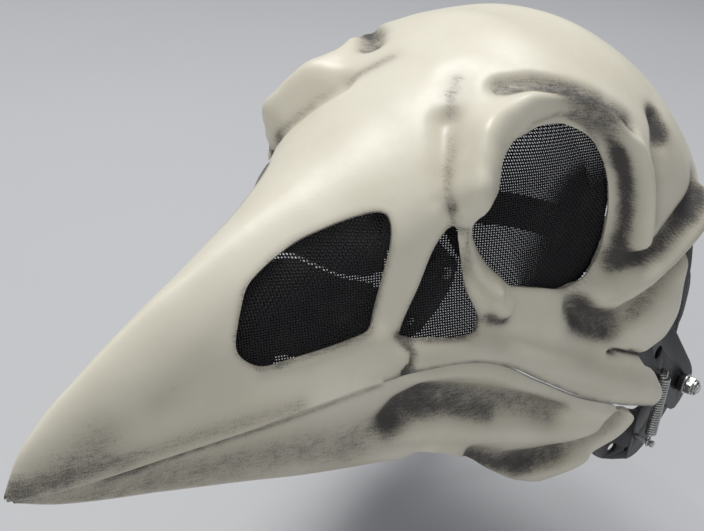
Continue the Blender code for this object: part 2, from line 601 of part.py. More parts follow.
def main():
    for thing in list(bpy.data.objects):
        bpy.data.objects.remove(thing, do_unlink=True)
    make_skull()
    make_jaw()
    make_screens()
    for side, word in ((1, "left"), (-1, "right")):
        make_plate(side, word)
        make_arm(side, word)
        make_pivot(side, word)
        make_fasteners(side, word)
        make_spring(side, word)
    make_pads()
    make_straps()
    make_chin_and_slider()


main()
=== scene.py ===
"""The finished look of a bird-skull plague doctor mask: two painted castings, woven
screens, a sprung hinge on each side, foam pads and webbing."""
import math
from itertools import chain

import bpy
import bmesh
import numpy as np
from mathutils import Matrix, Vector


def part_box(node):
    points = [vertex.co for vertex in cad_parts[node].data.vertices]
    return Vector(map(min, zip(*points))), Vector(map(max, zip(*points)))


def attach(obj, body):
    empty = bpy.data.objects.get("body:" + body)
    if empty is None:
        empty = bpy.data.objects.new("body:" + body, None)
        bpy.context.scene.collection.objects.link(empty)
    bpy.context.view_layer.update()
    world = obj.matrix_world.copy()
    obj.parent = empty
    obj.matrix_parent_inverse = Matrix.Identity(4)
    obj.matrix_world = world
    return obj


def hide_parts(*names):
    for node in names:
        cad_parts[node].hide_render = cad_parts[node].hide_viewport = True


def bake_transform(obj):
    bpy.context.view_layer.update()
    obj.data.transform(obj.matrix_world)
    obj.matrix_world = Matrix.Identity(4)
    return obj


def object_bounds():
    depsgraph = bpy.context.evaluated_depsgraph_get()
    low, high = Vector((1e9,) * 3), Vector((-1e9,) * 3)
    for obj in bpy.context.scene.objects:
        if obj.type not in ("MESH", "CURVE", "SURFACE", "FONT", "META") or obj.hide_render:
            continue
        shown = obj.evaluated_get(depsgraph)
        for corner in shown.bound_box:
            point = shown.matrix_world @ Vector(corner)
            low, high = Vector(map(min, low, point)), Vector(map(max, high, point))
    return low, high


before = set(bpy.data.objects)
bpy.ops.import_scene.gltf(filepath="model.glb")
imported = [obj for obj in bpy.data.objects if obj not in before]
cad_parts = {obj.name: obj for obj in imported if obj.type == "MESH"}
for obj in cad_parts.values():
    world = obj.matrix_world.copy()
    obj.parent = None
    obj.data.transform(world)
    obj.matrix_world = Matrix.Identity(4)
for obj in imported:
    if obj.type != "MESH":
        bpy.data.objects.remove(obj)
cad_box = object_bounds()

# ------------------------------------------------------------------ camera
# A close view from the front left and above, with the camera rolled slightly.
CAMERA_PLACE = (0.29714, -0.44148, 0.11356)
CAMERA_AZIMUTH = math.radians(42.37)
CAMERA_ELEVATION = math.radians(25.52)
CAMERA_ROLL = math.radians(4.73)
CAMERA_LENS = 51.24

back = Vector((math.sin(CAMERA_AZIMUTH) * math.cos(CAMERA_ELEVATION),
               -math.cos(CAMERA_AZIMUTH) * math.cos(CAMERA_ELEVATION),
               math.sin(CAMERA_ELEVATION)))
level = Vector((math.cos(CAMERA_AZIMUTH), math.sin(CAMERA_AZIMUTH), 0))
upright = back.cross(level)
right = level * math.cos(CAMERA_ROLL) + upright * math.sin(CAMERA_ROLL)
upward = upright * math.cos(CAMERA_ROLL) - level * math.sin(CAMERA_ROLL)
lens = bpy.data.cameras.new("camera")
lens.lens = CAMERA_LENS
lens.clip_start = 0.01
camera = bpy.data.objects.new("camera", lens)
camera.matrix_world = (Matrix.Translation(CAMERA_PLACE)
                       @ Matrix((right, upward, back)).transposed().to_4x4())
bpy.context.scene.collection.objects.link(camera)
bpy.context.scene.camera = camera

# ------------------------------------------------------------------ lights
# One large soft lamp overhead, a weak one from the front left, and a pale room.
LAMPS = [("overhead_lamp", (-0.70, 0.25, 2.8), 1.3, 64.0),
         ("front_lamp", (0.3, -2.4, 1.3), 1.5, 8.0)]
LAMPS_FACE = Vector((0, -0.05, -0.1))
ROOM_TINT = (0.93, 0.95, 1.0, 1.0)
ROOM_STRENGTH = 0.33
for name, place, size, power in LAMPS:
    lamp = bpy.data.lights.new(name, "AREA")
    lamp.size = size
    lamp.energy = power
    light = bpy.data.objects.new(name, lamp)
    light.location = place
    aim = (LAMPS_FACE - Vector(place)).to_track_quat("-Z", "Y")
    light.rotation_euler = aim.to_euler()
    bpy.context.scene.collection.objects.link(light)
room = bpy.data.worlds.new("room")
room.use_nodes = True
backdrop = room.node_tree.nodes["Background"]
backdrop.inputs["Color"].default_value = ROOM_TINT
backdrop.inputs["Strength"].default_value = ROOM_STRENGTH
bpy.context.scene.world = room
bpy.context.scene.view_settings.view_transform = "Standard"

# ------------------------------------------------------------------ floor
# A matt white surface, low enough for the lower beak to swing fully open above it.
FLOOR_HALF = 5.0
FLOOR_DROP = 0.080
floor_z = cad_box[0][2] - FLOOR_DROP
floor_mesh = bpy.data.meshes.new("floor")
floor_mesh.from_pydata([(x * FLOOR_HALF, y * FLOOR_HALF, floor_z)
                        for x, y in ((-1, -1), (1, -1), (1, 1), (-1, 1))], [], [(0, 1, 2, 3)])
floor = bpy.data.objects.new("floor", floor_mesh)
bpy.context.scene.collection.objects.link(floor)


class Tone:
    """One output of a material's nodes. Arithmetic on it adds Math nodes."""

    def __init__(self, tree, socket):
        self.tree = tree
        self.socket = socket

    def node(self, kind, settings=None, out=0, **values):
        """Add a node: its settings first, then the value or link of each named socket."""
        made = self.tree.nodes.new("ShaderNode" + kind)
        for name, value in (settings or {}).items():
            setattr(made, name, value)
        for name, value in values.items():
            plug = made.inputs[int(name[1:])] if name[1:].isdigit() else made.inputs[name]
            if isinstance(value, Tone):
                self.tree.links.new(value.socket, plug)
            else:
                plug.default_value = value
        return Tone(self.tree, made.outputs[out])

    def math(self, operation, other=0.0, first=None):
        return self.node("Math", {"operation": operation}, _0=self if first is None else first,
                         _1=other)

    def __add__(self, other):
        return self.math("ADD", other)

    __radd__ = __add__

    def __sub__(self, other):
        return self.math("SUBTRACT", other)

    def __rsub__(self, other):
        return self.math("SUBTRACT", self, other)

    def __mul__(self, other):
        return self.math("MULTIPLY", other)

    __rmul__ = __mul__

    def step(self, low, high):
        """A smooth step from 0 at low to 1 at high."""
        return self.node("MapRange", {"interpolation_type": "SMOOTHSTEP"}, Value=self,
                         **{"From Min": low, "From Max": high})

    def mix(self, colour_a, colour_b):
        """Colour A where this is 0 and colour B where it is 1."""
        return self.node("Mix", {"data_type": "RGBA"}, 2, _0=self, _6=colour_a, _7=colour_b)

    def noise(self, scale, detail=2.0, roughness=0.5):
        """A cloud pattern read at this place, from about 0 to 1."""
        return self.node("TexNoise", None, 0, Vector=self, Scale=scale, Detail=detail,
                         Roughness=roughness)

    def stretched(self, x, y, z):
        """This place, scaled along each axis."""
        return self.node("VectorMath", {"operation": "MULTIPLY"}, _0=self, _1=(x, y, z))

    def bumps(self, distance, strength=1.0):
        """A normal bent by this height, which is a share of distance in metres."""
        return self.node("Bump", None, 0, Height=self, Distance=distance, Strength=strength)


def begin_finish(name):
    """A new material with its shader and the place on the piece."""
    finish = bpy.data.materials.new(name)
    finish.use_nodes = True
    tree = finish.node_tree
    shader = tree.nodes["Principled BSDF"]
    place = Tone(tree, None).node("TexCoord", None, 3)
    return finish, shader, place


def feed(shader, **values):
    """Set or link the shader's sockets, spaces written as underscores."""
    for name, value in values.items():
        plug = shader.inputs[name.replace("_", " ")]
        if isinstance(value, Tone):
            value.tree.links.new(value.socket, plug)
        else:
            plug.default_value = value


def colour(red, green, blue):
    return (red, green, blue, 1.0)


table_finish, shader, place = begin_finish("table_top")
cloud = place.noise(1.5, 3.0)
feed(shader, Base_Color=cloud.mix(colour(0.55, 0.557, 0.57), colour(0.60, 0.606, 0.615)),
     Roughness=0.55)
floor_mesh.materials.append(table_finish)

# ------------------------------------------------------------------ skull shell
# A hollow casting in bone-coloured resin, 2.4 mm thick, open below and behind. Its
# hollows are dry-brushed with charcoal paint, and the inside is coated matt charcoal.
# The same charcoal and brown also paint shade: on the eye sockets' upper and rear walls,
# in the slit, under the bar's foot, along the seam above the lower beak, and on the
# beak's tip and lower side.
MM = 0.001
DATUM_Z = 6.0
WALL = 2.4
THIN_TIP = 0.12
TIP_REACH = 30
EDGE_ROUND = 0.6
ROOF_SHARE = 0.55
EYE_MIDDLE = (-64, -62)
EYE_REACH = 70
EYE_DEPTH = 8.0
EYE_SLOPE = 5.5
RIPPLE = 0.22

# y, midline height, shoulder half-width and height, edge half-width and height, roundness
SKULL_STATIONS = np.array([
    (-301, -147.0, 1.0, -148.0, 1.0, -149.5, 1.80),
    (-297, -136.0, 3.5, -144.0, 4.0, -149.0, 1.60),
    (-285, -121.0, 7.5, -136.0, 8.5, -149.0, 1.50),
    (-265, -106.0, 12.5, -128.0, 15.0, -147.5, 1.50),
    (-240, -90.0, 18.0, -119.0, 23.0, -144.5, 1.50),
    (-210, -75.0, 25.0, -107.0, 34.0, -140.0, 1.50),
    (-180, -60.0, 33.0, -94.0, 45.0, -134.0, 1.55),
    (-150, -46.0, 43.0, -80.0, 55.0, -129.0, 1.70),
    (-120, -30.0, 54.0, -66.0, 65.0, -126.5, 1.90),
    (-90, -13.0, 68.0, -54.0, 75.0, -132.5, 2.00),
    (-60, 1.0, 80.0, -50.0, 83.0, -150.5, 2.10),
    (-30, 11.0, 88.0, -54.0, 90.0, -168.5, 2.10),
    (0, 11.0, 94.5, -66.0, 97.5, -182.0, 2.10),
    (25, 4.0, 98.6, -84.0, 102.0, -190.0, 2.05),
    (45, -6.0, 99.5, -102.0, 103.0, -196.0, 2.00),
    (62, -18.0, 98.0, -118.0, 103.0, -200.0, 2.00),
    (76, -32.0, 95.0, -132.0, 103.0, -200.0, 2.00)], float)
SKULL_REAR = [(120, 30), (78, 30), (78, -38), (61, -56), (49, -72), (42, -87),
              (40, -101), (40.5, -113), (39, -127), (35, -140), (30, -148), (20.5, -151),
              (13, -153.5), (11.5, -157), (15, -162), (21.5, -166), (28, -173), (31, -182),
              (29.5, -191), (23, -197), (23, -215), (120, -215)]
EYE_OUTLINE = [(-96, -44), (-93, -38), (-89, -34), (-83, -29), (-77, -26), (-68, -22), (-57, -20),
               (-50, -21), (-44, -24), (-39, -29), (-35, -37), (-31, -48), (-28, -59), (-26, -70),
               (-26, -81), (-28, -91), (-35, -98), (-44, -102), (-53, -103), (-68, -99),
               (-80, -96), (-86, -94), (-91, -89), (-98, -82), (-104, -73), (-108, -64),
               (-109, -59), (-105, -54), (-102, -51), (-98, -48)]
FENESTRA_OUTLINE = [(-115, -61), (-121, -69), (-129, -89), (-138, -106), (-138, -110.5),
                    (-128, -112), (-115, -114), (-103, -114), (-101, -110), (-102, -105),
                    (-107, -93), (-111, -78), (-114, -67)]
NOSTRIL_OUTLINE = [(-201, -85), (-192, -77), (-175, -67.5), (-161, -62), (-148, -57.6),
                   (-140, -56), (-138, -59), (-141, -70.6), (-144, -82.6), (-147, -92.7),
                   (-150.5, -102.6), (-154, -106.7), (-160, -109), (-172, -111.6),
                   (-186, -113.7), (-198, -115), (-206, -110), (-209, -101.6)]

# Crests and hollows: points of the line, how far it reaches, and its height.
BROW = [(58, -106, -51), (56, -101, -41), (54, -93, -31), (54, -81, -23), (58, -68, -18),
        (64, -57, -17), (71, -46, -19), (77, -38, -23), (81, -33, -29), (85, -29, -36),
        (88, -24, -47), (90, -20, -59), (91, -17, -72), (91, -17, -81)]
BROW_HOLLOW = [(42, -70, -9), (50, -60, -7), (58, -53, -9), (66, -46, -12), (72, -39, -16),
               (77, -33, -21), (81, -27, -25)]
STRIPE = [(21, -79, -9), (27, -88, -16), (35, -98, -24), (42, -105, -32), (48, -111, -42),
          (53, -114, -50), (56, -113, -55)]
TEMPLE = [(82, 2, -26), (86, 0, -31), (89, -6, -40), (91, -8, -50), (92, -8, -59), (93, -5, -71)]
ABOVE_CHEEKBONE = [(98, 40, -60), (97, 30, -70), (98, 21, -76), (97, 14, -83), (95, 4, -91),
                   (94, -7, -91), (91, -18, -90), (89, -25, -92)]
CHEEKBONE = [(99, 44, -72), (98, 34, -80), (98, 24, -86), (97, 10, -96), (94, -4, -103),
             (92, -16, -107), (90, -25, -109), (87, -34, -108)]
BELOW_CHEEKBONE = [(99, 44, -93), (98, 32, -101), (98, 20, -110), (97, 8, -118), (95, -3, -125),
                   (93, -14, -130), (90, -26, -128), (87, -38, -120), (85, -45, -112)]
JUGAL = [(61, -128, -120), (70, -100, -122), (78, -77, -132), (85, -50, -145), (92, -19, -161),
         (100, 15, -176), (102, 28, -184)]
BAR = [(57, -112, -59), (58, -111, -67), (61, -107, -77), (64, -102, -85), (68, -96, -92)]
SLIT = [(93, -15, -146), (95, -7, -148), (97, 3, -151), (99, 12, -155.5)]
# Line of the slit's floor, painted near black as the shadow inside the slit.
SLIT_SHADOW = [(89.7, -15, -146), (91.5, -7, -148), (94.2, 3, -151), (95.5, 12, -155.5)]
CREASE = [(54, -141, -109), (56, -138, -113), (58, -135.5, -118), (58, -136, -123),
          (57, -139, -127)]
SKULL_FORMS = [
    (BROW, 8.0, 7.5), (BROW, 19.0, 4.5),
    ([(49, -90, -30), (53, -98, -39), (56, -105, -48)], 11.0, 5.0),
    ([(57, -107, -49), (58, -108, -54)], 7.0, 3.5),
    (BAR, 4.4, 6.5), ([(69, -94, -97), (72, -90, -103)], 6.5, 6.5),
    (BROW_HOLLOW, 6.5, -5.0), (STRIPE[2:], 7.5, -4.0), (STRIPE, 9.0, -1.2), (TEMPLE, 5.0, -5.0),
    (ABOVE_CHEEKBONE, 6.0, -5.5), (CHEEKBONE, 7.5, 9.5), (BELOW_CHEEKBONE, 7.0, -6.5),
    ([(98, 10, -135), (100, 26, -132)], 12.0, 4.5),
    ([(59, -134, -118), *JUGAL], 7.5, 5.0), (SLIT, 1.8, -3.5),
    ([(66, -108, -112), (77, -78, -124), (84, -51, -134), (91, -23, -144)], 5.0, -1.8),
    (CREASE, 1.8, -3.5), ([(49, -147, -111), (53, -147, -123)], 7.0, 2.5),
    ([(88, 10, -34), (95, 17, -56)], 13.0, 2.0)]
# Charcoal paint and painted shade: points of the line, how far it reaches, and how dense it is.
SKULL_SOOT_AND_SHADE = [
    (BROW_HOLLOW, 7.0, 0.80), (STRIPE, 5.0, 0.42), (TEMPLE, 4.5, 0.35),
    ([(81, 2, -25), (85, 3, -33)], 7.0, 0.85),
    ([(56, -113, -54), (58, -112, -59)], 4.0, 0.85),
    ([(57, -113, -60), (60, -111, -70)], 1.6, 0.5),
    (ABOVE_CHEEKBONE, 6.0, 0.75), ([(98, 36, -66), (97, 26, -74)], 10.0, 0.85),
    ([(93, -8, -92), (89, -24, -92)], 5.5, 0.85), (BELOW_CHEEKBONE, 6.5, 0.85),
    ([(86, -40, -121), (91, -18, -130)], 9.0, 0.9),
    # The next two lines darken the eye socket's upper and rear walls by the window: charcoal paint
    # and painted shade on the shadowed wall.
    ([(70, -50, -21), (76, -42, -25), (82, -35, -33), (86, -31, -42)], 3.5, 0.9),
    ([(84, -32, -37), (88, -27, -50), (89, -24, -66), (89, -24, -82)], 4.5, 0.9),
    # Painted shadow under the bulging foot of the bar.
    ([(70, -95, -108), (73, -89, -110)], 5.0, 0.8),
    # The first entry below paints the slit near black: painted shadow.
    (SLIT_SHADOW, 2.0, 0.98), (CREASE, 3.0, 0.62), ([(60, -128, -115), (67, -110, -114)], 2.0, 0.4),
    ([(19, -202, -86), (18, -242, -119)], 9.0, 0.20),
    ([(47, -152, -110), (38, -179, -117), (30, -199, -118)], 3.5, 0.22),
    # The two entries from the beak's tip, and the broad one on the lower beak after them, darken
    # the tip and lower side: brown paint and painted shade on faces that turn down.
    ([(1, -300, -146), (8, -283, -144), (15, -259, -143), (25, -227, -139), (40, -186, -134)],
     6.0, 0.42), ([(1, -300, -146), (7, -284, -138), (12, -268, -132)], 14.0, 0.42),
    ([(12, -262, -125), (30, -205, -118), (47, -150, -116)], 22.0, 0.16), (STRIPE, 16.0, 0.14),
    (BROW_HOLLOW, 15.0, 0.16), (ABOVE_CHEEKBONE, 13.0, 0.25), (BELOW_CHEEKBONE, 14.0, 0.30),
    # The first entry below is a wide brown wash on the socket's rear wall: paint and painted shade.
    ([(86, -31, -42), (91, -20, -60), (90, -24, -84)], 9.0, 0.35), (JUGAL, 14.0, 0.22),
    (BAR, 6.0, 0.22), (TEMPLE, 12.0, 0.22)]


def along_stations(stations, y):
    """Read the stations at y, by a cubic between neighbours whose slopes never overshoot."""
    at, values = stations[:, 0], stations[:, 1:]
    slope = np.diff(values, axis=0) / np.diff(at)[:, None]
    limit = 3 * np.minimum(abs(slope[:-1]), abs(slope[1:]))
    inner = np.where(slope[:-1] * slope[1:] > 0, np.sign(slope[1:]) * np.minimum(
        abs(slope[:-1] + slope[1:]) / 2, limit), 0)
    slopes = np.vstack([slope[:1], inner, slope[-1:]])
    k = np.clip(np.searchsorted(at, y) - 1, 0, len(at) - 2)
    width = (at[k + 1] - at[k])[..., None]
    t = np.clip((y - at[k]) / (at[k + 1] - at[k]), 0, 1)[..., None]
    return ((1 + 2 * t) * (1 - t) ** 2 * values[k] + t * (1 - t) ** 2 * width * slopes[k]
            + t * t * (3 - 2 * t) * values[k + 1] + t * t * (t - 1) * width * slopes[k + 1])


def section_points(stations, y, s, inset=0.0):
    """A rounded arch from the midline (s = 0) to the shoulder, then a wall down to s = 1."""
    top, wide, shoulder, edge_wide, edge, power = np.moveaxis(along_stations(stations, y), -1, 0)
    top = top + np.sign(shoulder - top) * inset
    wide, edge_wide = np.maximum(wide - inset, 0.3), np.maximum(edge_wide - inset, 0.3)
    angle = np.clip(np.abs(s) / ROOF_SHARE, 0, 1) * math.pi / 2
    t = np.maximum((np.abs(s) - ROOF_SHARE) / (1 - ROOF_SHARE), 0)
    arch_x = wide * np.sin(angle) ** (2 / power)
    arch_z = shoulder + (top - shoulder) * np.clip(np.cos(angle), 0, 1) ** (2 / power)
    on_arch = np.abs(s) < ROOF_SHARE
    x = np.where(on_arch, arch_x, wide + (edge_wide - wide) * t ** 1.6)
    z = np.where(on_arch, arch_z, shoulder + (edge - shoulder) * t)
    return np.stack([np.sign(s + 1e-12) * x, y + 0 * s, z], axis=-1)


def eased_points(stations, y, s, inset=0.0):
    """The section averaged over a short reach of s, which rounds its shoulder and ridge."""
    reach = 0.05
    taps = [(-1.0, 0.16), (-0.5, 0.22), (0.0, 0.24), (0.5, 0.22), (1.0, 0.16)]
    return sum(share * section_points(stations, y, s + reach * tap, inset) for tap, share in taps)


def line_distance(points, line):
    """Distance from each point, mirrored to the left side, to a line of straight stretches."""
    points = np.concatenate([np.abs(points[..., :1]), points[..., 1:]], axis=-1)
    line = np.array(line, float)
    nearest = np.full(points.shape[:-1], 1e9)
    for start, end in zip(line[:-1], line[1:]):
        run = end - start
        t = np.clip(((points - start) @ run) / (run @ run), 0, 1)
        nearest = np.minimum(nearest, np.linalg.norm(points - start - t[..., None] * run, axis=-1))
    return nearest


def form_height(points, forms):
    """Sum of the crests and hollows, each a flat-topped bell of the distance to its line."""
    return sum(height * np.exp(-(line_distance(points, line) / reach) ** 2.6)
               for line, reach, height in forms)


def rounded_spans(before, here, after, beyond, steps):
    """Points of the cubic from here to after whose slopes are half the chord to each side."""
    t = (np.arange(steps) / steps)[None, :, None]
    before, here, after, beyond = (part[:, None] for part in (before, here, after, beyond))
    curve = 0.5 * (2 * here + (after - before) * t
                   + (2 * before - 5 * here + 4 * after - beyond) * t ** 2
                   + (3 * here - before - 3 * after + beyond) * t ** 3)
    return curve.reshape(-1, curve.shape[-1])


def rounded_outline(outline, steps=6):
    """A closed curve through the outline's points, with the given steps between them."""
    knots = np.array(outline, float)
    return rounded_spans(np.roll(knots, 1, axis=0), knots, np.roll(knots, -1, axis=0),
                         np.roll(knots, -2, axis=0), steps)


def outline_distance(flat, outline):
    """Distance in side view from each (y, z) to a closed outline, negative inside it."""
    start, end = outline, np.roll(outline, -1, axis=0)
    run = end - start
    gap = flat[..., None, :] - start
    t = np.clip((gap * run).sum(-1) / ((run * run).sum(-1) + 1e-12), 0, 1)
    distance = np.linalg.norm(gap - t[..., None] * run, axis=-1).min(-1)
    y, z = flat[..., None, 0], flat[..., None, 1]
    spans = (start[:, 1] > z) != (end[:, 1] > z)
    rise = np.where(run[:, 1] == 0, 1e-12, run[:, 1])
    inside = (spans & (y < start[:, 0] + (z - start[:, 1]) / rise * run[:, 0])).sum(-1) % 2 == 1
    return np.where(inside, -distance, distance)


def cut_distance(flat, outlines):
    """Distance to the nearest of several outlines, negative inside any of them."""
    shape = flat.shape[:-1]
    flat = flat.reshape(-1, 2)
    return np.min([outline_distance(flat, outline) for outline in outlines], axis=0).reshape(shape)


SLIDE_ROUNDS = 4
PROBE_Y = 0.2
PROBE_S = 0.002
PROBE_SIDE = 0.05


def trimmed_sheet(stations, surface, rows, columns, outlines, outward=1):
    """Points and faces of a sheet with its outlines cut away.

    The sheet is surface(y, s) on a grid, and the outlines are drawn on the side view of its
    plain section. Where a grid edge crosses an outline, its nearer end slides along the
    section onto the outline, by Newton steps on its distance from the outline, and the
    cells inside are left out.
    """
    y, s = np.meshgrid(rows, columns, indexing="ij")
    d = cut_distance(eased_points(stations, y, s)[..., 1:], outlines)
    slides = np.zeros(d.shape, bool)
    for near, far in (((slice(None, -1), slice(None)), (slice(1, None), slice(None))),
                      ((slice(None), slice(None, -1)), (slice(None), slice(1, None)))):
        crossing = d[near] * d[far] < 0
        first = np.abs(d[near]) <= np.abs(d[far])
        slides[near] |= crossing & first
        slides[far] |= crossing & ~first
    ys, ss = y[slides], s[slides]
    for _ in range(SLIDE_ROUNDS):
        here = eased_points(stations, ys, ss)
        by_y = (eased_points(stations, ys + PROBE_Y, ss) - here)[:, 1:] / PROBE_Y
        by_s = (eased_points(stations, ys, ss + PROBE_S) - here)[:, 1:] / PROBE_S
        away = cut_distance(here[:, 1:], outlines)
        slope = np.stack([cut_distance(here[:, 1:] + step, outlines) - away
                          for step in ([PROBE_SIDE, 0], [0, PROBE_SIDE])],
                         axis=-1) / PROBE_SIDE
        move = -away[:, None] * slope / np.maximum((slope ** 2).sum(-1), 0.3)[:, None]
        area = by_y[:, 0] * by_s[:, 1] - by_y[:, 1] * by_s[:, 0]
        ys = ys + (move[:, 0] * by_s[:, 1] - move[:, 1] * by_s[:, 0]) / area
        ss = np.clip(ss + (by_y[:, 0] * move[:, 1] - by_y[:, 1] * move[:, 0]) / area, 0, 1)
    y[slides], s[slides], d[slides] = ys, ss, 0
    points = surface(y, s)
    number = np.arange(d.size).reshape(d.shape)
    corners = np.stack([number[:-1, :-1], number[:-1, 1:], number[1:, 1:], number[1:, :-1]], -1)
    corners = corners.reshape(-1, 4)[:, ::outward]
    side = np.sign(d).ravel()[corners]
    whole = (side.min(1) >= 0) & (side.max(1) > 0)
    faces = [tuple(face) for face in corners[whole].tolist()]
    for k in range(4):
        lone = (side[:, k] > 0) & (side[:, (k + 2) % 4] < 0)
        picked = corners[lone][:, [(k - 1) % 4, k, (k + 1) % 4]]
        faces += [tuple(face) for face in picked.tolist()]
    return points.reshape(-1, 3), faces


def mirrored_sheet(points, faces):
    """Join a sheet to its mirror image at x = 0."""
    count = len(points)
    on_middle = np.abs(points[:, 0]) < 1e-6
    mirror_number = np.where(on_middle, np.arange(count), np.arange(count) + count)
    mirror_faces = [tuple(int(mirror_number[k]) for k in face[::-1]) for face in faces]
    return np.vstack([points, points * [-1, 1, 1]]), faces + mirror_faces


def make_piece(name, points, faces, finishes):
    """A smooth mesh object from points in millimetres above the skull's datum plane."""
    used = np.unique(np.fromiter(chain.from_iterable(faces), int))
    renumber = np.zeros(len(points), int)
    renumber[used] = np.arange(len(used))
    faces = [tuple(renumber[list(face)].tolist()) for face in faces]
    mesh = bpy.data.meshes.new(name)
    placed = (np.asarray(points, float)[used] + [0, 0, DATUM_Z]) * MM
    mesh.from_pydata(placed.tolist(), [], faces)
    for finish in finishes:
        mesh.materials.append(finish)
    mesh.shade_smooth()
    piece = bpy.data.objects.new(name, mesh)
    bpy.context.scene.collection.objects.link(piece)
    return piece


def declare(piece, body, node=None):
    """Tell the frame which body a piece rides on, and what it replaces."""
    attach(piece, body)
    if node:
        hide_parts(node)


def round_edges(piece, width, angle):
    """Round every edge sharper than the angle, in two steps."""
    rim = piece.modifiers.new("edge", "BEVEL")
    rim.width = width * MM
    rim.segments = 2
    rim.limit_method = "ANGLE"
    rim.angle_limit = math.radians(angle)
    return rim


def table_points(mesh):
    """The mesh's points in millimetres above the skull's datum plane."""
    points = np.empty(len(mesh.vertices) * 3, np.float32)
    mesh.vertices.foreach_get("co", points)
    return points.reshape(-1, 3) / MM - [0, 0, DATUM_Z]


def thicken(piece, tip_y):
    """Give a sheet its wall, growing inwards and thin at the beak's tip, with round edges.

    The second material covers the inside. Points of equal thickness are weighted together.
    """
    solid = piece.modifiers.new("wall", "SOLIDIFY")
    solid.thickness = WALL * MM
    solid.offset = -1
    solid.material_offset = 1
    share = np.clip((table_points(piece.data)[:, 1] - tip_y) / TIP_REACH,
                    THIN_TIP, 1)
    group = piece.vertex_groups.new(name="wall")
    for weight in np.unique(share):
        group.add(np.flatnonzero(share == weight).tolist(), float(weight), "REPLACE")
    solid.vertex_group = "wall"
    round_edges(piece, EDGE_ROUND, 50)


def paint_soot_and_shade(piece, lines, extra=None):
    """Write how much charcoal paint and painted shade each point holds, from bell curves about the
    lines.
    """
    mesh = piece.data
    points = table_points(mesh)
    clean = np.ones(len(points))
    for line, reach, amount in lines:
        clean *= 1 - amount * np.exp(-(line_distance(points, line) / reach) ** 2)
    if extra is not None:
        clean *= 1 - extra(points)
    soot_and_shade = mesh.attributes.new("soot_and_shade", "FLOAT", "POINT")
    soot_and_shade.data.foreach_set("value", (1 - clean).astype(np.float32))


# The brown wash and charcoal colours below serve both as real paint and as painted shade.
BONE_PALE = colour(0.86, 0.815, 0.675)
BONE_DEEP = colour(0.79, 0.74, 0.595)
BONE_WORN = colour(0.83, 0.78, 0.64)
BROWN_WASH_AND_SHADE = colour(0.27, 0.235, 0.18)
CHARCOAL_AND_SHADE = colour(0.045, 0.043, 0.047)


def bone_finish(name):
    """Warm off-white paint, satin, with stippled charcoal and a brown wash laid by the point
    attribute, which holds both charcoal paint and painted shade.
    """
    finish, shader, place = begin_finish(name)
    soot_and_shade = place.node("Attribute", {"attribute_name": "soot_and_shade"}, 2)
    broad = place.noise(22.0, 3.0)
    fine = place.noise(180.0, 4.0, 0.6)
    grains = place.noise(1500.0, 2.0, 0.7)
    specks = place.noise(3200.0, 1.0, 0.5)
    strokes = place.stretched(160.0, 160.0, 1500.0).noise(1.0, 3.0, 0.6)
    bone = broad.step(0.3, 0.7).mix(BONE_PALE, BONE_DEEP)
    bone = fine.step(0.55, 0.75).mix(bone, BONE_WORN)
    ragged = soot_and_shade + (grains - 0.5) * 0.50 + (specks - 0.5) * 0.35 + (strokes - 0.5) * 0.40
    # Stipple and wash follow the point attribute, so they lay painted shade as well as charcoal
    # paint.
    stipple_and_shade = (ragged + (fine - 0.5) * 0.35).step(0.36, 0.86) * soot_and_shade.step(0.06, 0.35)
    wash_and_shade = (soot_and_shade + (broad - 0.5) * 0.08).step(0.0, 0.85) * 0.72
    sooty_and_shaded = wash_and_shade.mix(bone, BROWN_WASH_AND_SHADE)
    painted = (stipple_and_shade * 0.90).mix(sooty_and_shaded, CHARCOAL_AND_SHADE)
    feed(shader, Base_Color=painted, Roughness=0.38 + stipple_and_shade * 0.30 + (fine - 0.5) * 0.14,
         Normal=(fine * 0.6 + grains * 0.2 + stipple_and_shade * 0.25).bumps(0.00035, 0.35))
    shader.inputs["Specular IOR Level"].default_value = 0.45
    return finish


def inner_finish(name):
    """The inside, brushed with matt charcoal over the grey resin, streaky and thin in places."""
    finish, shader, place = begin_finish(name)
    swirl = place.noise(35.0, 4.0, 0.6)
    brushed = place.stretched(40.0, 500.0, 500.0).noise(1.0, 3.0, 0.6)
    cover = (swirl * 0.7 + brushed * 0.4).step(0.30, 0.62)
    feed(shader, Base_Color=cover.mix(colour(0.13, 0.12, 0.11), colour(0.045, 0.044, 0.045)),
         Roughness=0.68 + (brushed - 0.5) * 0.2, Normal=(swirl + brushed * 0.4).bumps(0.0005, 0.4))
    return finish


eye_edge = rounded_outline(EYE_OUTLINE)
fenestra_edge = rounded_outline(FENESTRA_OUTLINE)
nostril_edge = rounded_outline(NOSTRIL_OUTLINE)


def rear_share(y, z):
    """How far the eye window's edge is sunk: little at the front, fully at the rear."""
    return np.clip(0.50 + (y - EYE_MIDDLE[0]) / 62 + (z - EYE_MIDDLE[1]) / 170, 0.10, 1.0)


def base_and_normal(stations, y, s, outward=1):
    """The eased section, and its unit normal from short steps down and along it."""
    down = eased_points(stations, y, s + 0.004) - eased_points(stations, y, s - 0.004)
    run = eased_points(stations, y + 0.4, s) - eased_points(stations, y - 0.4, s)
    normal = outward * np.cross(down, run)
    normal /= np.linalg.norm(normal, axis=-1)[..., None] + 1e-12
    return eased_points(stations, y, s), normal


def lifted(base, normal, lift, s):
    """The section moved along its normal, with its midline kept on the middle plane."""
    points = base + normal * lift[..., None]
    points[..., 0] = np.where(s <= 0, 0, points[..., 0])
    return points


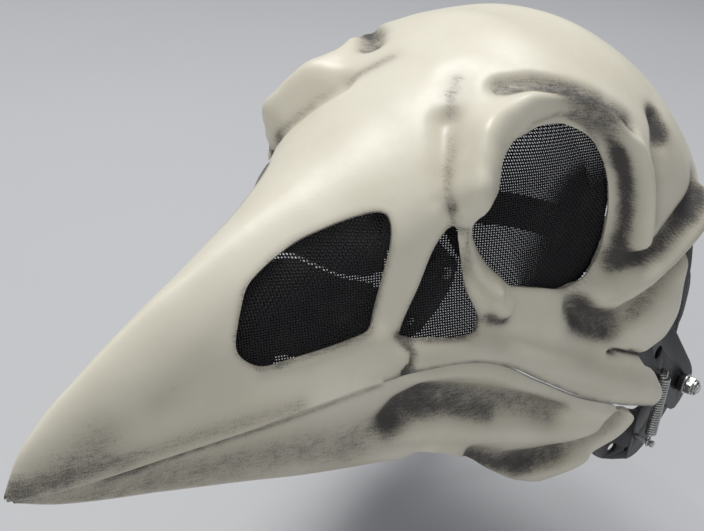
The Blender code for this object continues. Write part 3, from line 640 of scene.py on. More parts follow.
def skull_surface(y, s):
    """The eased section, lifted along its normal by the crests, hollows and sunk eye rim."""
    base, normal = base_and_normal(SKULL_STATIONS, y, s)
    lift = form_height(base, SKULL_FORMS)
    flat = base[..., 1:].reshape(-1, 2)
    close = np.abs(flat - EYE_MIDDLE).max(-1) < EYE_REACH
    rim = np.full(len(flat), float(EYE_REACH))
    rim[close] = outline_distance(flat[close], eye_edge)
    rim = np.maximum(rim.reshape(lift.shape), 0)
    sunk = rear_share(base[..., 1], base[..., 2]) * np.exp(-(rim / EYE_SLOPE) ** 2)
    lift = lift * (1 - sunk) - EYE_DEPTH * sunk
    wobble = (np.sin(base[..., 1] / 17 + base[..., 0] / 23) * np.sin(base[..., 2] / 19 + 1.3)
              + 0.6 * np.sin(base[..., 1] / 7.3) * np.sin(base[..., 2] / 8.1 + base[..., 0] / 9))
    lift = lift + RIPPLE * wobble * np.clip((base[..., 1] + 300) / 40, 0, 1)
    return lifted(base, normal, lift, s)


skull_cuts = [rounded_outline(SKULL_REAR, 4), eye_edge, fenestra_edge, nostril_edge]
skull_rows = np.interp(np.arange(216), [0, 34, 76, 100, 130, 168, 215],
                       [-301.5, -215, -136, -98, -42, -6, 74])
points, faces = trimmed_sheet(SKULL_STATIONS, skull_surface, skull_rows, np.linspace(0, 1, 116),
                              skull_cuts)
skull = make_piece("skull_casting", *mirrored_sheet(points, faces),
                   [bone_finish("painted_bone"), inner_finish("charcoal_inside")])


def window_band_and_seam_shadow(points):
    """A thin dark band that follows the window edges, and painted shadow along the seam above the
    lower beak.
    """
    flat = points[:, 1:]
    near = np.full(len(flat), 99.0)
    region = (flat[:, 0] < -15) & (flat[:, 0] > -220)
    near[region] = np.abs(cut_distance(flat[region], [eye_edge, fenestra_edge, nostril_edge]))
    window = 0.45 * np.exp(-(near / 1.8) ** 2)
    seam = np.linalg.norm(points - skull_surface(points[:, 1], np.ones(len(points))), axis=1)
    # The seam's band is painted shadow, where the skull's lower edge hangs over the lower beak.
    return 1 - (1 - window) * (1 - 0.55 * np.exp(-(seam / 2.4) ** 2) * (flat[:, 0] > -150))


paint_soot_and_shade(skull, SKULL_SOOT_AND_SHADE, window_band_and_seam_shadow)
thicken(skull, -301)
declare(skull, "skull", "skull_shell")

# ------------------------------------------------------------------ lower beak
# The second casting: a trough from the tip to the chin, then two arched cheeks whose
# upper lip follows the skull's edge. Painted like the skull, browner below the beak, where
# brown paint and painted shade darken the downward faces, with a painted shadow line along
# the upper lip under the upper beak.
JAW_STATIONS = np.array([
    (-298, -152.5, 1.0, -151.3, 1.0, -150.6, 1.80),
    (-285, -159.0, 6.0, -154.0, 7.5, -149.9, 1.80),
    (-265, -166.0, 11.5, -158.0, 14.0, -148.4, 1.80),
    (-240, -173.0, 18.0, -162.0, 22.0, -145.4, 1.80),
    (-210, -181.0, 26.0, -168.0, 33.0, -140.9, 1.80),
    (-180, -189.0, 35.0, -174.0, 44.0, -134.9, 1.80),
    (-150, -195.0, 44.0, -178.0, 54.0, -130.1, 1.80),
    (-120, -200.0, 53.0, -184.0, 63.5, -127.6, 1.90),
    (-90, -215.0, 62.0, -198.0, 73.0, -133.9, 2.00),
    (-60, -236.0, 70.0, -212.0, 80.5, -152.0, 2.00),
    (-30, -250.0, 77.0, -224.0, 87.0, -170.3, 2.00),
    (0, -254.0, 86.0, -226.0, 92.5, -184.6, 2.00),
    (38, -252.0, 95.0, -222.0, 98.0, -205.0, 2.00)], float)
JAW_LOWER = [(-132, -280), (-131, -200), (-129, -190), (-122, -184), (-112, -182.5), (-98, -188),
             (-82, -199), (-60, -215), (-33, -227.5), (-12, -226), (5, -219.5), (20, -215.5),
             (27, -209.5), (27.5, -204), (22, -198.5), (14, -194), (6, -189), (2, -172),
             (60, -172), (60, -280)]
JAW_BAND = [(51, -136, -156), (54, -133, -150), (57, -124, -146), (62, -108, -150),
            (70, -84, -159), (77, -59, -169), (82, -40, -179)]
JAW_LOW_BAND = [(93, 12, -201), (88, -4, -208), (80, -23, -213), (74, -43, -211), (69, -64, -206),
                (64, -85, -195)]
JAW_FORMS = [
    (JAW_BAND, 8.0, -5.0), (JAW_LOW_BAND, 6.5, -5.0),
    ([(50, -136, -166), (57, -112, -171), (66, -84, -179), (77, -43, -192), (87, -7, -200)],
     8.0, 4.5),
    ([(60, -126, -131), (66, -110, -133), (74, -88, -139), (82, -60, -158), (88, -30, -177),
      (93, 0, -191)], 5.5, 2.2),
    ([(56, -110, -185), (64, -85, -197), (69, -63, -211), (75, -33, -225), (85, -5, -224)],
     5.5, 3.0)]
JAW_SOOT_AND_SHADE = [
    (JAW_BAND, 7.5, 0.85), ([(54, -124, -156), (62, -104, -159), (69, -82, -168)], 6.5, 0.6),
    (JAW_BAND, 17.0, 0.25), (JAW_LOW_BAND, 14.0, 0.22),
    ([(51, -136, -157), (54, -132, -150), (57, -122, -147)], 7.0, 0.8),
    (JAW_LOW_BAND, 6.5, 0.85), ([(80, -24, -213), (72, -52, -212)], 8.0, 0.6),
    # Brown paint and painted shade on the downward faces of the beak's front.
    ([(1, -297, -151), (18, -240, -158), (36, -180, -162), (46, -155, -166)], 21.0, 0.52),
    # Painted shadow line along the upper lip, under the upper beak's edge.
    ([(14, -265, -149), (33, -210, -142), (54, -150, -132)], 3.0, 0.45)]


def jaw_surface(y, s):
    """The eased section, lifted along its normal by the crests and hollows."""
    base, normal = base_and_normal(JAW_STATIONS, y, s, -1)
    lift = form_height(base, JAW_FORMS)
    lift = lift * np.clip((1 - s) / 0.06, 0, 1) + 0.2 * np.sin(base[..., 1] / 11) * np.sin(
        base[..., 2] / 13)
    return lifted(base, normal, lift, s)


jaw_rows = -298.3 + 336.3 * np.linspace(0, 1, 176) ** 1.08
points, faces = trimmed_sheet(JAW_STATIONS, jaw_surface, jaw_rows, np.linspace(0, 1, 80),
                              [rounded_outline(JAW_LOWER, 4)], -1)
jaw = make_piece("lower_beak_casting", *mirrored_sheet(points, faces),
                 [bone_finish("painted_bone_below"), bpy.data.materials["charcoal_inside"]])
paint_soot_and_shade(jaw, JAW_SOOT_AND_SHADE)
thicken(jaw, -298)
declare(jaw, "jaw", "lower_jaw_shell")

# ------------------------------------------------------------------ window screens
# Six pieces of black plastic-coated wire cloth, glued behind the windows. Every wire is
# modelled, passing over one crossing wire and under the next, 1.2 mm apart.
WIRE_PITCH = 1.2
WIRE_RADIUS = 0.43
WIRE_SWAY = 0.40
SCREEN_INSET = 4.0
SCREEN_OVERLAP = 6.0


def screen_x(y, z, sunk):
    """Half-width of the screen's surface, found by halving s until its height is z.

    It lies a fixed depth inside the casting's section, and deeper by sunk along the normal.
    """
    def half_width(y, z):
        low, high = np.zeros(y.shape), np.ones(y.shape)
        for _ in range(22):
            middle = (low + high) / 2
            above = eased_points(SKULL_STATIONS, y, middle, SCREEN_INSET)[..., 2] > z
            low, high = np.where(above, middle, low), np.where(above, high, middle)
        return eased_points(SKULL_STATIONS, y, low, SCREEN_INSET)[..., 0]

    x = half_width(y, z)
    by_y = (half_width(y + 0.5, z) - x) / 0.5
    by_z = (half_width(y, z + 0.5) - x) / 0.5
    flatness = 1 / np.sqrt(1 + by_y ** 2 + by_z ** 2)
    normal = np.stack([flatness, -by_y * flatness, -by_z * flatness], axis=-1)
    return x - sunk / np.maximum(flatness, 0.4), normal


def wire_set(outline, sunk_by, along):
    """Points and faces of every wire that runs along y (0) or z (1) inside the outline.

    A wire is a four-sided tube about its middle line, which sways by a cosine across the
    sheet, half a turn for each crossing wire.
    """
    low = np.floor((outline.min(0) - 4) / WIRE_PITCH)
    high = np.ceil((outline.max(0) + 4) / WIRE_PITCH)
    across = 1 - along
    steps = np.arange(low[along] * 2, high[along] * 2 + 1) / 2
    lanes = np.arange(low[across], high[across] + 1)
    lane, step = np.meshgrid(lanes, steps, indexing="ij")
    y, z = ((step, lane) if along == 0 else (lane, step))
    y, z = y * WIRE_PITCH, z * WIRE_PITCH
    flat = np.stack([y, z], axis=-1)
    inside = cut_distance(flat, [outline]) < SCREEN_OVERLAP
    sunk = sunk_by(y, z)
    x, normal = screen_x(y, z, sunk)
    sway = (1 if along == 0 else -1) * WIRE_SWAY * np.cos(math.pi * (lane + step))
    centre = np.stack([x, y, z], axis=-1) + normal * sway[..., None]
    axis = np.array([0, 1.0, 0]) if along == 0 else np.array([0, 0, 1.0])
    beside = np.cross(normal, axis)
    beside /= np.linalg.norm(beside, axis=-1)[..., None]
    rings = np.stack([centre + WIRE_RADIUS * (a * normal + b * beside)
                      for a, b in ((1, 0), (0, 1), (-1, 0), (0, -1))], axis=-2)
    number = np.arange(rings.size // 3).reshape(rings.shape[:-1])
    joined = inside[:, :-1] & inside[:, 1:]
    here, there = number[:, :-1][joined], number[:, 1:][joined]
    sides = [np.stack([here[:, k], here[:, (k + 1) % 4], there[:, (k + 1) % 4], there[:, k]], -1)
             for k in range(4)]
    blank = np.zeros((len(lanes), 1), bool)
    after = np.hstack([joined, blank])
    before = np.hstack([blank, joined])
    starts = number[after & ~before][:, ::-1]
    ends = number[before & ~after]
    faces = np.concatenate(sides + [starts, ends])
    return rings.reshape(-1, 3), faces


def screen_finish():
    """Black vinyl over wire: nearly black, semi-gloss, dusty in broad patches."""
    finish, shader, place = begin_finish("black_wire_cloth")
    dust = place.noise(60.0, 3.0)
    feed(shader, Base_Color=dust.step(0.45, 0.8).mix(colour(0.008, 0.008, 0.010),
                                                     colour(0.024, 0.023, 0.023)),
         Roughness=0.36 + dust * 0.25)
    return finish


def shallow_depth(y, z):
    """The small window's screen lies a little deeper, to pass behind the eye screen's edge."""
    return 1.8 + 0 * y


def no_depth(y, z):
    """The front window's screen lies at the plain inset."""
    return 0 * y


def eye_depth(y, z):
    """The eye screen lies behind the sunk rear of its window."""
    return EYE_DEPTH * rear_share(y, z)


black_cloth = screen_finish()
for kind, edge, depth in (("eye", eye_edge, eye_depth), ("fenestra", fenestra_edge, shallow_depth),
                          ("nostril", nostril_edge, no_depth)):
    level_points, level_faces = wire_set(edge, depth, 0)
    up_points, up_faces = wire_set(edge, depth, 1)
    points = np.vstack([level_points, up_points])
    faces = np.vstack([level_faces, up_faces + len(level_points)])
    for side, word in ((1, "left"), (-1, "right")):
        screen = make_piece(f"{kind}_wire_cloth_{word}", points * [side, 1, 1], faces[:, ::-side],
                            [black_cloth])
        declare(screen, "skull", f"{kind}_screen_{word}")

# ------------------------------------------------------------------ hinge plates and arms
# Laser-cut mild steel, 2.5 mm, powder-coated satin black. The plates are screwed inside the
# cheeks, and the arms, stepped inwards at the front, inside the lower beak.
PLATE_EDGE = 0.35


def coated_steel_finish(name, streak_colour):
    """Satin black powder coat with a fine orange-peel skin and a few pale streaks."""
    finish, shader, place = begin_finish(name)
    peel = place.noise(900.0, 2.0)
    pale_streaks = place.stretched(60.0, 260.0, 60.0).noise(1.0, 4.0, 0.65).step(0.66, 0.74)
    feed(shader, Base_Color=(pale_streaks * 0.5).mix(colour(0.017, 0.017, 0.019), streak_colour),
         Roughness=0.36 + pale_streaks * 0.2 + (peel - 0.5) * 0.15,
         Normal=peel.bumps(0.00012, 0.5))
    shader.inputs["Specular IOR Level"].default_value = 0.28
    return finish


def bevelled_copy(node, name, finish, width):
    """A merged copy of a CAD node, with its flat faces joined and its edges rounded."""
    form = bmesh.new()
    form.from_mesh(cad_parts[node].data)
    bmesh.ops.remove_doubles(form, verts=form.verts[:], dist=1e-6)
    bmesh.ops.dissolve_limit(form, angle_limit=math.radians(1), verts=form.verts[:],
                             edges=form.edges[:])
    mesh = bpy.data.meshes.new(name)
    form.to_mesh(mesh)
    form.free()
    mesh.materials.clear()
    mesh.materials.append(finish)
    mesh.shade_smooth()
    piece = bpy.data.objects.new(name, mesh)
    bpy.context.scene.collection.objects.link(piece)
    round_edges(piece, width, 40).harden_normals = True
    return piece


black_coat = coated_steel_finish("black_powder_coat", colour(0.09, 0.09, 0.09))
for word in ("left", "right"):
    plate = bevelled_copy(f"hinge_plate_{word}", f"cheek_plate_{word}", black_coat, PLATE_EDGE)
    declare(plate, "skull", f"hinge_plate_{word}")
    arm = bevelled_copy(f"jaw_arm_{word}", f"beak_arm_{word}", black_coat, PLATE_EDGE)
    declare(arm, "jaw", f"jaw_arm_{word}")

# ------------------------------------------------------------------ pivots
# An M6 bolt on each side, its head inside, with a nylon washer between arm and plate, a
# black spacer, a steel washer and a lock nut with a nylon collar outside.
PIVOT = (80.0, -200.0)
BOLT_RADIUS = 3.0
THREAD_PITCH = 1.0
THREAD_DEPTH = 0.45


def turned_points(profile, y, z, sides, thread=None):
    """Rings about a line along X, from (distance out, radius) pairs, as an array of points.

    Inside thread = (from, to), the radius loses a triangle wave of the distance less the
    turn, which is a screw thread.
    """
    profile = np.array(profile, float)
    turn = np.arange(sides) / sides
    x = np.repeat(profile[:, :1], sides, axis=1)
    radius = np.repeat(profile[:, 1:], sides, axis=1)
    if thread is not None:
        wave = (x / THREAD_PITCH - turn) % 1
        fade = np.clip((x - thread[0]) / 0.6, 0, 1) * np.clip((thread[1] - x) / 0.6, 0, 1)
        radius = radius - THREAD_DEPTH * (1 - 2 * np.abs(wave - 0.5)) * fade
    return np.stack([x, y + radius * np.cos(2 * math.pi * turn),
                     z + radius * np.sin(2 * math.pi * turn)], axis=-1)


def closed_rings(rings, ring_closes=False):
    """Points and faces of a skin over rings of equal length, its ends closed by flat caps.

    With ring_closes, the last ring joins the first instead, as on a washer.
    """
    rows, count = rings.shape[:2]
    number = np.arange(rows * count).reshape(rows, count)
    if ring_closes:
        number = np.vstack([number, number[:1]])
    beside = np.roll(number, -1, axis=1)
    skin = np.stack([number[:-1], number[1:], beside[1:], beside[:-1]], axis=-1).reshape(-1, 4)
    faces = [tuple(face) for face in skin.tolist()]
    if not ring_closes:
        faces += [tuple(number[0].tolist()), tuple(number[-1, ::-1].tolist())]
    return rings.reshape(-1, 3), faces


def turned_piece(name, finish, body, node, side, profile, spot, sides=40, loop=False,
                 thread=None):
    """Make a round piece on one side of the mask, and tell the frame what it stands for."""
    points, faces = closed_rings(turned_points(profile, *spot, sides, thread), loop)
    if side < 0:
        faces = [face[::-1] for face in faces]
    piece = make_piece(name, points * [side, 1, 1], faces, [finish])
    crisp(piece)
    declare(piece, body, node)


def crisp(piece, angle=35.0):
    """Keep edges sharper than the angle crisp in the shading, and turn faces outwards."""
    form = bmesh.new()
    form.from_mesh(piece.data)
    bmesh.ops.recalc_face_normals(form, faces=form.faces[:])
    for edge in form.edges:
        edge.smooth = len(edge.link_faces) == 2 and edge.calc_face_angle(0) < math.radians(angle)
    form.to_mesh(piece.data)
    form.free()


def ring_profile(start, thick, hole, radius, edge):
    """A washer's section: four corners, each cut by a small slope."""
    end = start + thick
    return [(start, hole + edge), (start, radius - edge), (start + edge, radius),
            (end - edge, radius), (end, radius - edge), (end, hole + edge), (end - edge, hole),
            (start + edge, hole)]


def zinc_finish():
    """Bright zinc plate with a faint turned grain and dull handling marks."""
    finish, shader, place = begin_finish("bright_zinc")
    grain = place.stretched(2600.0, 500.0, 500.0).noise(1.0, 2.0)
    dull = place.noise(300.0, 3.0)
    feed(shader, Base_Color=dull.step(0.35, 0.75).mix(colour(0.70, 0.70, 0.68),
                                                      colour(0.52, 0.52, 0.50)),
         Metallic=1.0, Roughness=0.24 + dull * 0.18 + grain * 0.08,
         Normal=grain.bumps(0.00004, 0.4))
    return finish


def nylon_finish():
    """Moulded black nylon, slightly mottled."""
    finish, shader, place = begin_finish("black_nylon")
    mottle = place.noise(500.0, 3.0)
    feed(shader, Base_Color=mottle.mix(colour(0.016, 0.016, 0.018), colour(0.030, 0.030, 0.032)),
         Roughness=0.42 + mottle * 0.2, Normal=mottle.bumps(0.0001, 0.4))
    return finish


def hex_nut_points(start, thick, across, hole, spot):
    """Rings of a nut: a hexagon whose corners are cut to a cone at both ends, and a hole."""
    turn = np.arange(72) / 72 * 2 * math.pi
    flat = across / np.cos((turn + math.pi / 6) % (math.pi / 3) - math.pi / 6)
    corner = across / math.cos(math.pi / 6)
    rings = []
    for x, cap in ((0, hole + 0.4), (0, across * 0.97), (0.55, corner), (thick - 0.55, corner),
                   (thick, across * 0.97), (thick, hole + 0.4), (thick - 0.4, hole), (0.4, hole)):
        radius = np.minimum(flat, cap)
        rings.append(np.stack([np.full(72, start + x), spot[0] + radius * np.cos(turn),
                               spot[1] + radius * np.sin(turn)], axis=-1))
    return np.array(rings)


zinc = zinc_finish()
black_nylon = nylon_finish()
thread_x = np.arange(93.0, 107.31, 0.125)
bolt_profile = [(84.8, 0.4), (84.8, 3.4), (85.1, 4.2), (86.2, 5.0), (87.0, 5.2), (88.1, 5.2),
                (88.2, 5.1), (88.2, BOLT_RADIUS)]
bolt_profile += [(x, BOLT_RADIUS) for x in thread_x.tolist()]
bolt_profile += [(107.8, BOLT_RADIUS - 0.6)]
for side, word in ((1, "left"), (-1, "right")):
    turned_piece(f"hinge_bolt_{word}", zinc, "skull", f"pivot_bolt_{word}", side,
                 bolt_profile, PIVOT, 48, thread=(93.0, 107.8))
    turned_piece(f"friction_washer_{word}", black_nylon, "skull",
                 f"pivot_washer_{word}", side, ring_profile(91.3, 1.4, 3.35, 8.0, 0.2), PIVOT,
                 loop=True)
    turned_piece(f"hinge_spacer_{word}", black_nylon, "skull",
                 f"outer_spacer_{word}", side, ring_profile(95.8, 3.0, 3.35, 5.6, 0.4), PIVOT,
                 loop=True)
    turned_piece(f"hinge_washer_{word}", zinc, "skull", f"outer_washer_{word}",
                 side, ring_profile(99.1, 1.2, 3.35, 6.2, 0.2), PIVOT, loop=True)
    points, faces = closed_rings(hex_nut_points(100.6, 4.2, 5.02, 3.35, PIVOT), True)
    nut = make_piece(f"hinge_lock_nut_{word}", points * [side, 1, 1], faces, [zinc])
    crisp(nut, 25)
    declare(nut, "skull", f"lock_nut_{word}")
    turned_piece(f"lock_nut_collar_{word}", zinc, "skull", None, side,
                 ring_profile(104.8, 1.4, 3.9, 4.7, 0.35), PIVOT, loop=True)
    turned_piece(f"lock_nut_insert_{word}", black_nylon, "skull", None, side,
                 ring_profile(104.8, 1.1, 3.12, 3.9, 0.1), PIVOT, loop=True)

# ------------------------------------------------------------------ screws, rivets and posts
# Zinc-plated button-head screws and flat rivets, driven from inside, and a grooved post on
# each arm for the spring.
SCREW_RADIUS = 1.55
HEAD_RADIUS = 3.2
HEAD_HEIGHT = 1.8
PLATE_SCREWS = [(21.0, -145.0), (27.0, -132.0)]
ARM_SCREWS = [(10.0, -211.0), (18.0, -208.0)]


def x_span(node):
    """The CAD node's nearest and farthest distance from the middle plane."""
    reach = sorted(abs(corner[0]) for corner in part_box(node))
    return reach[0] / MM, reach[1] / MM


def button_profile(seat, tip, head, height):
    """A domed head with a round socket in its middle, and a plain shank out to tip."""
    return [(seat - height * 0.45, 0.05), (seat - height * 0.45, head * 0.32),
            (seat - height * 0.97, head * 0.36), (seat - height, head * 0.46),
            (seat - height * 0.86, head * 0.72), (seat - height * 0.55, head * 0.92),
            (seat - height * 0.2, head), (seat, head * 0.99), (seat, SCREW_RADIUS),
            (tip, SCREW_RADIUS)]


for side, word in ((1, "left"), (-1, "right")):
    screws = [(f"plate_screw_{word}_{k + 1}", "skull", spot) for k, spot in enumerate(PLATE_SCREWS)]
    screws += [(f"arm_screw_{word}_{k + 1}", "jaw", spot) for k, spot in enumerate(ARM_SCREWS)]
    for node, body, spot in screws:
        inner, reach = x_span(node)
        turned_piece(node + "_button", zinc, body, node, side,
                     button_profile(inner + HEAD_HEIGHT, reach, HEAD_RADIUS, HEAD_HEIGHT),
                     spot, 32)
    for node, body, spot in ((f"strap_rivet_{word}", "skull", (34.0, -80.0)),
                             (f"chin_rivet_{word}", "jaw", (-46.0, -200.0))):
        inner, reach = x_span(node)
        turned_piece(node + "_flat", zinc, body, node, side,
                     [(inner, 0.05), (inner, 2.2), (inner + 0.25, 3.3), (inner + 0.8, 3.9),
                      (inner + 1.2, 4.0), (inner + 1.4, 3.9), (inner + 1.4, SCREW_RADIUS),
                      (reach, SCREW_RADIUS)], spot, 36)
    turned_piece(f"spring_post_{word}_grooved", zinc, "jaw",
                 f"spring_post_{word}", side,
                 [(86.4, 0.05), (86.4, 1.9), (86.9, 2.7), (87.6, 3.2), (88.1, 3.2), (88.2, 3.1),
                  (88.2, SCREW_RADIUS), (98.0, SCREW_RADIUS), (98.4, 1.25), (100.0, 1.25),
                  (100.4, 1.6), (101.0, 2.1), (102.2, 2.1), (102.6, 1.7)], (46.0, -227.0), 28)

# ------------------------------------------------------------------ return springs
# Extension springs of 1.1 mm bright wire, close wound. The upper hook passes through the
# plate's small hole, and the lower eye sits in the post's groove.
SPRING_WIRE = 0.55
COIL_RADIUS = 2.9
COIL_TURNS = 25
SPRING_TOP = (99.2, 47.6, -182.2)
SPRING_FOOT = (99.2, 46.1, -221.6)
POST = (99.2, 46.0, -227.0)


def wire_tube(path, radius, sides):
    """Rings of a round wire along a path, each turned least from the one before."""
    run = np.gradient(path, axis=0)
    run /= np.linalg.norm(run, axis=1)[:, None]
    start = np.cross(run[0], [1.0, 0.3, 0.2])
    beside = [start / np.linalg.norm(start)]
    for direction in run[1:]:
        carried = beside[-1] - direction * (beside[-1] @ direction)
        beside.append(carried / np.linalg.norm(carried))
    beside = np.array(beside)[:, None]
    above = np.cross(run[:, None], beside)
    angle = (np.arange(sides) * 2 * math.pi / sides)[None, :, None]
    return path[:, None] + radius * (np.cos(angle) * beside + np.sin(angle) * above)


def spring_path():
    """An upper hook, a coil on a straight axis, and an eye round the post.

    The coil's points are its axis plus the radius times the cosine and sine of the turn.
    """
    top, foot, post = (np.array(p) for p in (SPRING_TOP, SPRING_FOOT, POST))
    along = (foot - top) / np.linalg.norm(foot - top)
    front = np.cross(along, [1.0, 0, 0])
    turn = np.linspace(0, COIL_TURNS, COIL_TURNS * 16 + 1)
    grow = np.clip(np.minimum(turn, COIL_TURNS - turn) * 3, 0.25, 1) * COIL_RADIUS
    coil = (top + np.outer(turn / COIL_TURNS * np.linalg.norm(foot - top), along)
            + np.outer(grow * np.cos(turn * 2 * math.pi), [1.0, 0, 0])
            + np.outer(grow * np.sin(turn * 2 * math.pi), front))
    hook = np.array([(93.2, 50.6, -183.4), (92.4, 50.4, -182.2), (92.9, 50.1, -181.2),
                     (94.6, 50.0, -180.9), (96.6, 50.0, -180.6), (98.6, 49.6, -180.0),
                     (99.6, 48.6, -180.3)])
    angle = np.linspace(math.radians(80), math.radians(-260), 22)
    eye = np.column_stack([np.full(22, post[0]), post[1] + 2.2 * np.cos(angle),
                           post[2] + 2.2 * np.sin(angle)])
    return rounded_path(np.vstack([hook, coil[::2], eye]), 2)


def rounded_path(points, steps):
    """An open curve through the points, with the given steps between them."""
    ends = np.vstack([2 * points[0] - points[1], points, 2 * points[-1] - points[-2]])
    curve = rounded_spans(ends[:-3], ends[1:-2], ends[2:-1], ends[3:], steps)
    return np.vstack([curve, points[-1]])


spring_points, spring_faces = closed_rings(wire_tube(spring_path(), SPRING_WIRE, 8))
for side, word in ((1, "left"), (-1, "right")):
    spring = make_piece(f"coil_spring_{word}", spring_points * [side, 1, 1], spring_faces, [zinc])
    crisp(spring, 80)
    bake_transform(spring)
    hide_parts(f"return_spring_{word}")

# ------------------------------------------------------------------ webbing straps
# Black polyester webbing, 25 mm wide: one strap up each side, riveted to the skull, a nape
# strap sewn to both, and a chin sling riveted inside the lower beak.
WEB_WIDTH = 25.0
SIDE_THICKNESS = 1.7
CROSS_THICKNESS = 2.0
NAPE_LEVEL = -150.0
SLING_Y = -46.0
SEAM_X = 92.75
SEAM_Y = (44.0, 61.5)
SEAM_Z = (-160.0, -140.0)
STITCH_PITCH = 2.6
STITCH_RADIUS = 0.32
RIB_PITCH = 1.25
PICK_PITCH = 1.7


def webbing_finish():
    """Basket weave from the strap's own length and width: the product of two sines."""
    finish, shader, place = begin_finish("black_webbing")
    spot = place.node("UVMap", {"uv_map": "weave"})
    along = spot.node("SeparateXYZ", None, 0, Vector=spot)
    across = spot.node("SeparateXYZ", None, 1, Vector=spot)
    picks = (along * (math.pi / (PICK_PITCH * MM))).math("SINE")
    ribs = (across * (math.pi / (RIB_PITCH * MM))).math("SINE")
    weave = picks * ribs
    fuzz = place.noise(3000.0, 2.0)
    worn = place.noise(40.0, 3.0).step(0.5, 0.75)
    shade = weave * 0.3 + 0.5 + (fuzz - 0.5) * 0.5
    feed(shader, Base_Color=shade.step(0.1, 0.95).mix(colour(0.010, 0.010, 0.011),
                                                      colour(0.045, 0.045, 0.048)),
         Roughness=0.72 + worn * 0.15, Normal=(weave * 0.5 + fuzz * 0.2).bumps(0.0004, 0.8))
    shader.inputs["Sheen Weight"].default_value = 0.15
    return finish


def strap_piece(name, centre, face, wide, thickness, finish):
    """A band along a path: centre points, the way it faces, and the way its width runs.

    Its section is a flat lens of eighteen points whose thickness falls as the fourth power
    towards the woven edges, repeated at every point of the path.
    """
    v = np.linspace(-1, 1, 9)
    swell = (1 - 0.65 * np.abs(v) ** 4) * thickness / 2
    section = np.concatenate([np.stack([v, swell], 1), np.stack([v[::-1], -swell[::-1]], 1)])
    width = np.asarray(wide, float)
    rings = (centre[:, None] + section[None, :, :1] * width[:, None] * WEB_WIDTH / 2
             + section[None, :, 1:] * face[:, None])
    points, faces = closed_rings(rings)
    piece = make_piece(name, points, faces, [finish])
    length = np.concatenate([[0], np.cumsum(np.linalg.norm(np.diff(centre, axis=0), axis=1))])
    grid = np.stack(np.broadcast_arrays(length[:, None], section[None, :, 0] * WEB_WIDTH / 2), -1)
    uv = piece.data.uv_layers.new(name="weave")
    corner = np.empty(len(piece.data.loops), np.int32)
    piece.data.loops.foreach_get("vertex_index", corner)
    uv.data.foreach_set("uv", (grid.reshape(-1, 2)[corner] * MM).astype(np.float32).ravel())
    crisp(piece, 60)
    return piece


def facing(centre, wide):
    """The way a band faces: its path's direction crossed with its width's."""
    run = np.gradient(centre, axis=0)
    face = np.cross(run, wide)
    return face / np.linalg.norm(face, axis=1)[:, None]


def stitches(name, starts, ends, radius, finish):
    """One lens-shaped stitch for each pair of ends, six-sided and pointed, as one mesh."""
    starts, ends = np.array(starts, float), np.array(ends, float)
    run = ends - starts
    beside = np.cross(run, [0.31, 0.52, 0.79])
    beside /= np.linalg.norm(beside, axis=1)[:, None]
    above = np.cross(run / np.linalg.norm(run, axis=1)[:, None], beside)
    angle = np.arange(6) * math.pi / 3
    rings = []
    for share, thick in ((0.0, 0.15), (0.2, 0.8), (0.5, 1.0), (0.8, 0.8), (1.0, 0.15)):
        middle = starts + run * share
        rings.append(middle[:, None] + radius * thick * (
            np.cos(angle)[None, :, None] * beside[:, None]
            + np.sin(angle)[None, :, None] * above[:, None]))
    rings = np.stack(rings, axis=1)
    number = np.arange(rings.size // 3).reshape(rings.shape[:-1])
    beyond = np.roll(number, -1, axis=2)
    skin = np.stack([number[:, :-1], number[:, 1:], beyond[:, 1:], beyond[:, :-1]], -1)
    faces = [tuple(face) for face in skin.reshape(-1, 4).tolist()]
    faces += [tuple(face) for face in number[:, 0].tolist()]
    faces += [tuple(face) for face in number[:, -1, ::-1].tolist()]
    piece = make_piece(name, rings.reshape(-1, 3), faces, [finish])
    crisp(piece, 60)
    return piece


def thread_finish():
    """Waxed charcoal thread, a little glossier than the webbing."""
    finish, shader, place = begin_finish("charcoal_thread")
    twist = place.noise(2500.0, 2.0)
    feed(shader, Base_Color=twist.mix(colour(0.03, 0.03, 0.033), colour(0.085, 0.085, 0.09)),
         Roughness=0.55 + twist * 0.1)
    return finish


webbing = webbing_finish()
thread = thread_finish()
SIDE_PATH = np.array([(91.85, 52, -174.0), (91.85, 53, -162), (91.85, 53, -150), (91.5, 52.8, -136),
                      (91.25, 52, -122), (90.9, 49.5, -112), (90.45, 46, -102), (89.7, 42, -94),
                      (89.25, 38, -86), (89.25, 33.5, -79), (89.25, 29, -72)], float)
NAPE_HALF = [(0, 120), (17, 120), (34, 120), (56, 115), (74, 103), (85, 86), (90, 68), (90.6, 50)]
CHIN_HALF = [(0, -222), (22, -221.5), (42, -218.5), (55.5, -211.5), (63.8, -203), (67.6, -193)]

for side, word in ((1, "left"), (-1, "right")):
    centre = rounded_path(SIDE_PATH, 5) * [side, 1, 1]
    lean = np.interp(centre[:, 2], [-174, -120, -95, -72], [1.5, 1.5, 5.0, 5.0]) / 12.5
    wide = np.stack([0 * lean, np.ones(len(lean)), lean], axis=1)
    strap = strap_piece(f"side_webbing_{word}", centre, facing(centre, wide), wide, SIDE_THICKNESS,
                        webbing)
    declare(strap, "skull", f"side_strap_{word}")
    corners = [(SEAM_Y[a], SEAM_Z[b]) for a, b in
               ((0, 0), (1, 0), (1, 1), (0, 1), (0, 0), (1, 1))]
    starts, ends = [], []
    for a, b in zip(corners[:-1], corners[1:]):
        a, b = np.array(a), np.array(b)
        count = int(np.linalg.norm(b - a) / STITCH_PITCH)
        for k in range(count):
            first, last = a + (b - a) * (k + 0.14) / count, a + (b - a) * (k + 0.86) / count
            starts.append((side * SEAM_X, *first))
            ends.append((side * SEAM_X, *last))
    sewn = stitches(f"side_stitching_{word}", starts, ends, STITCH_RADIUS, thread)
    declare(sewn, "skull")


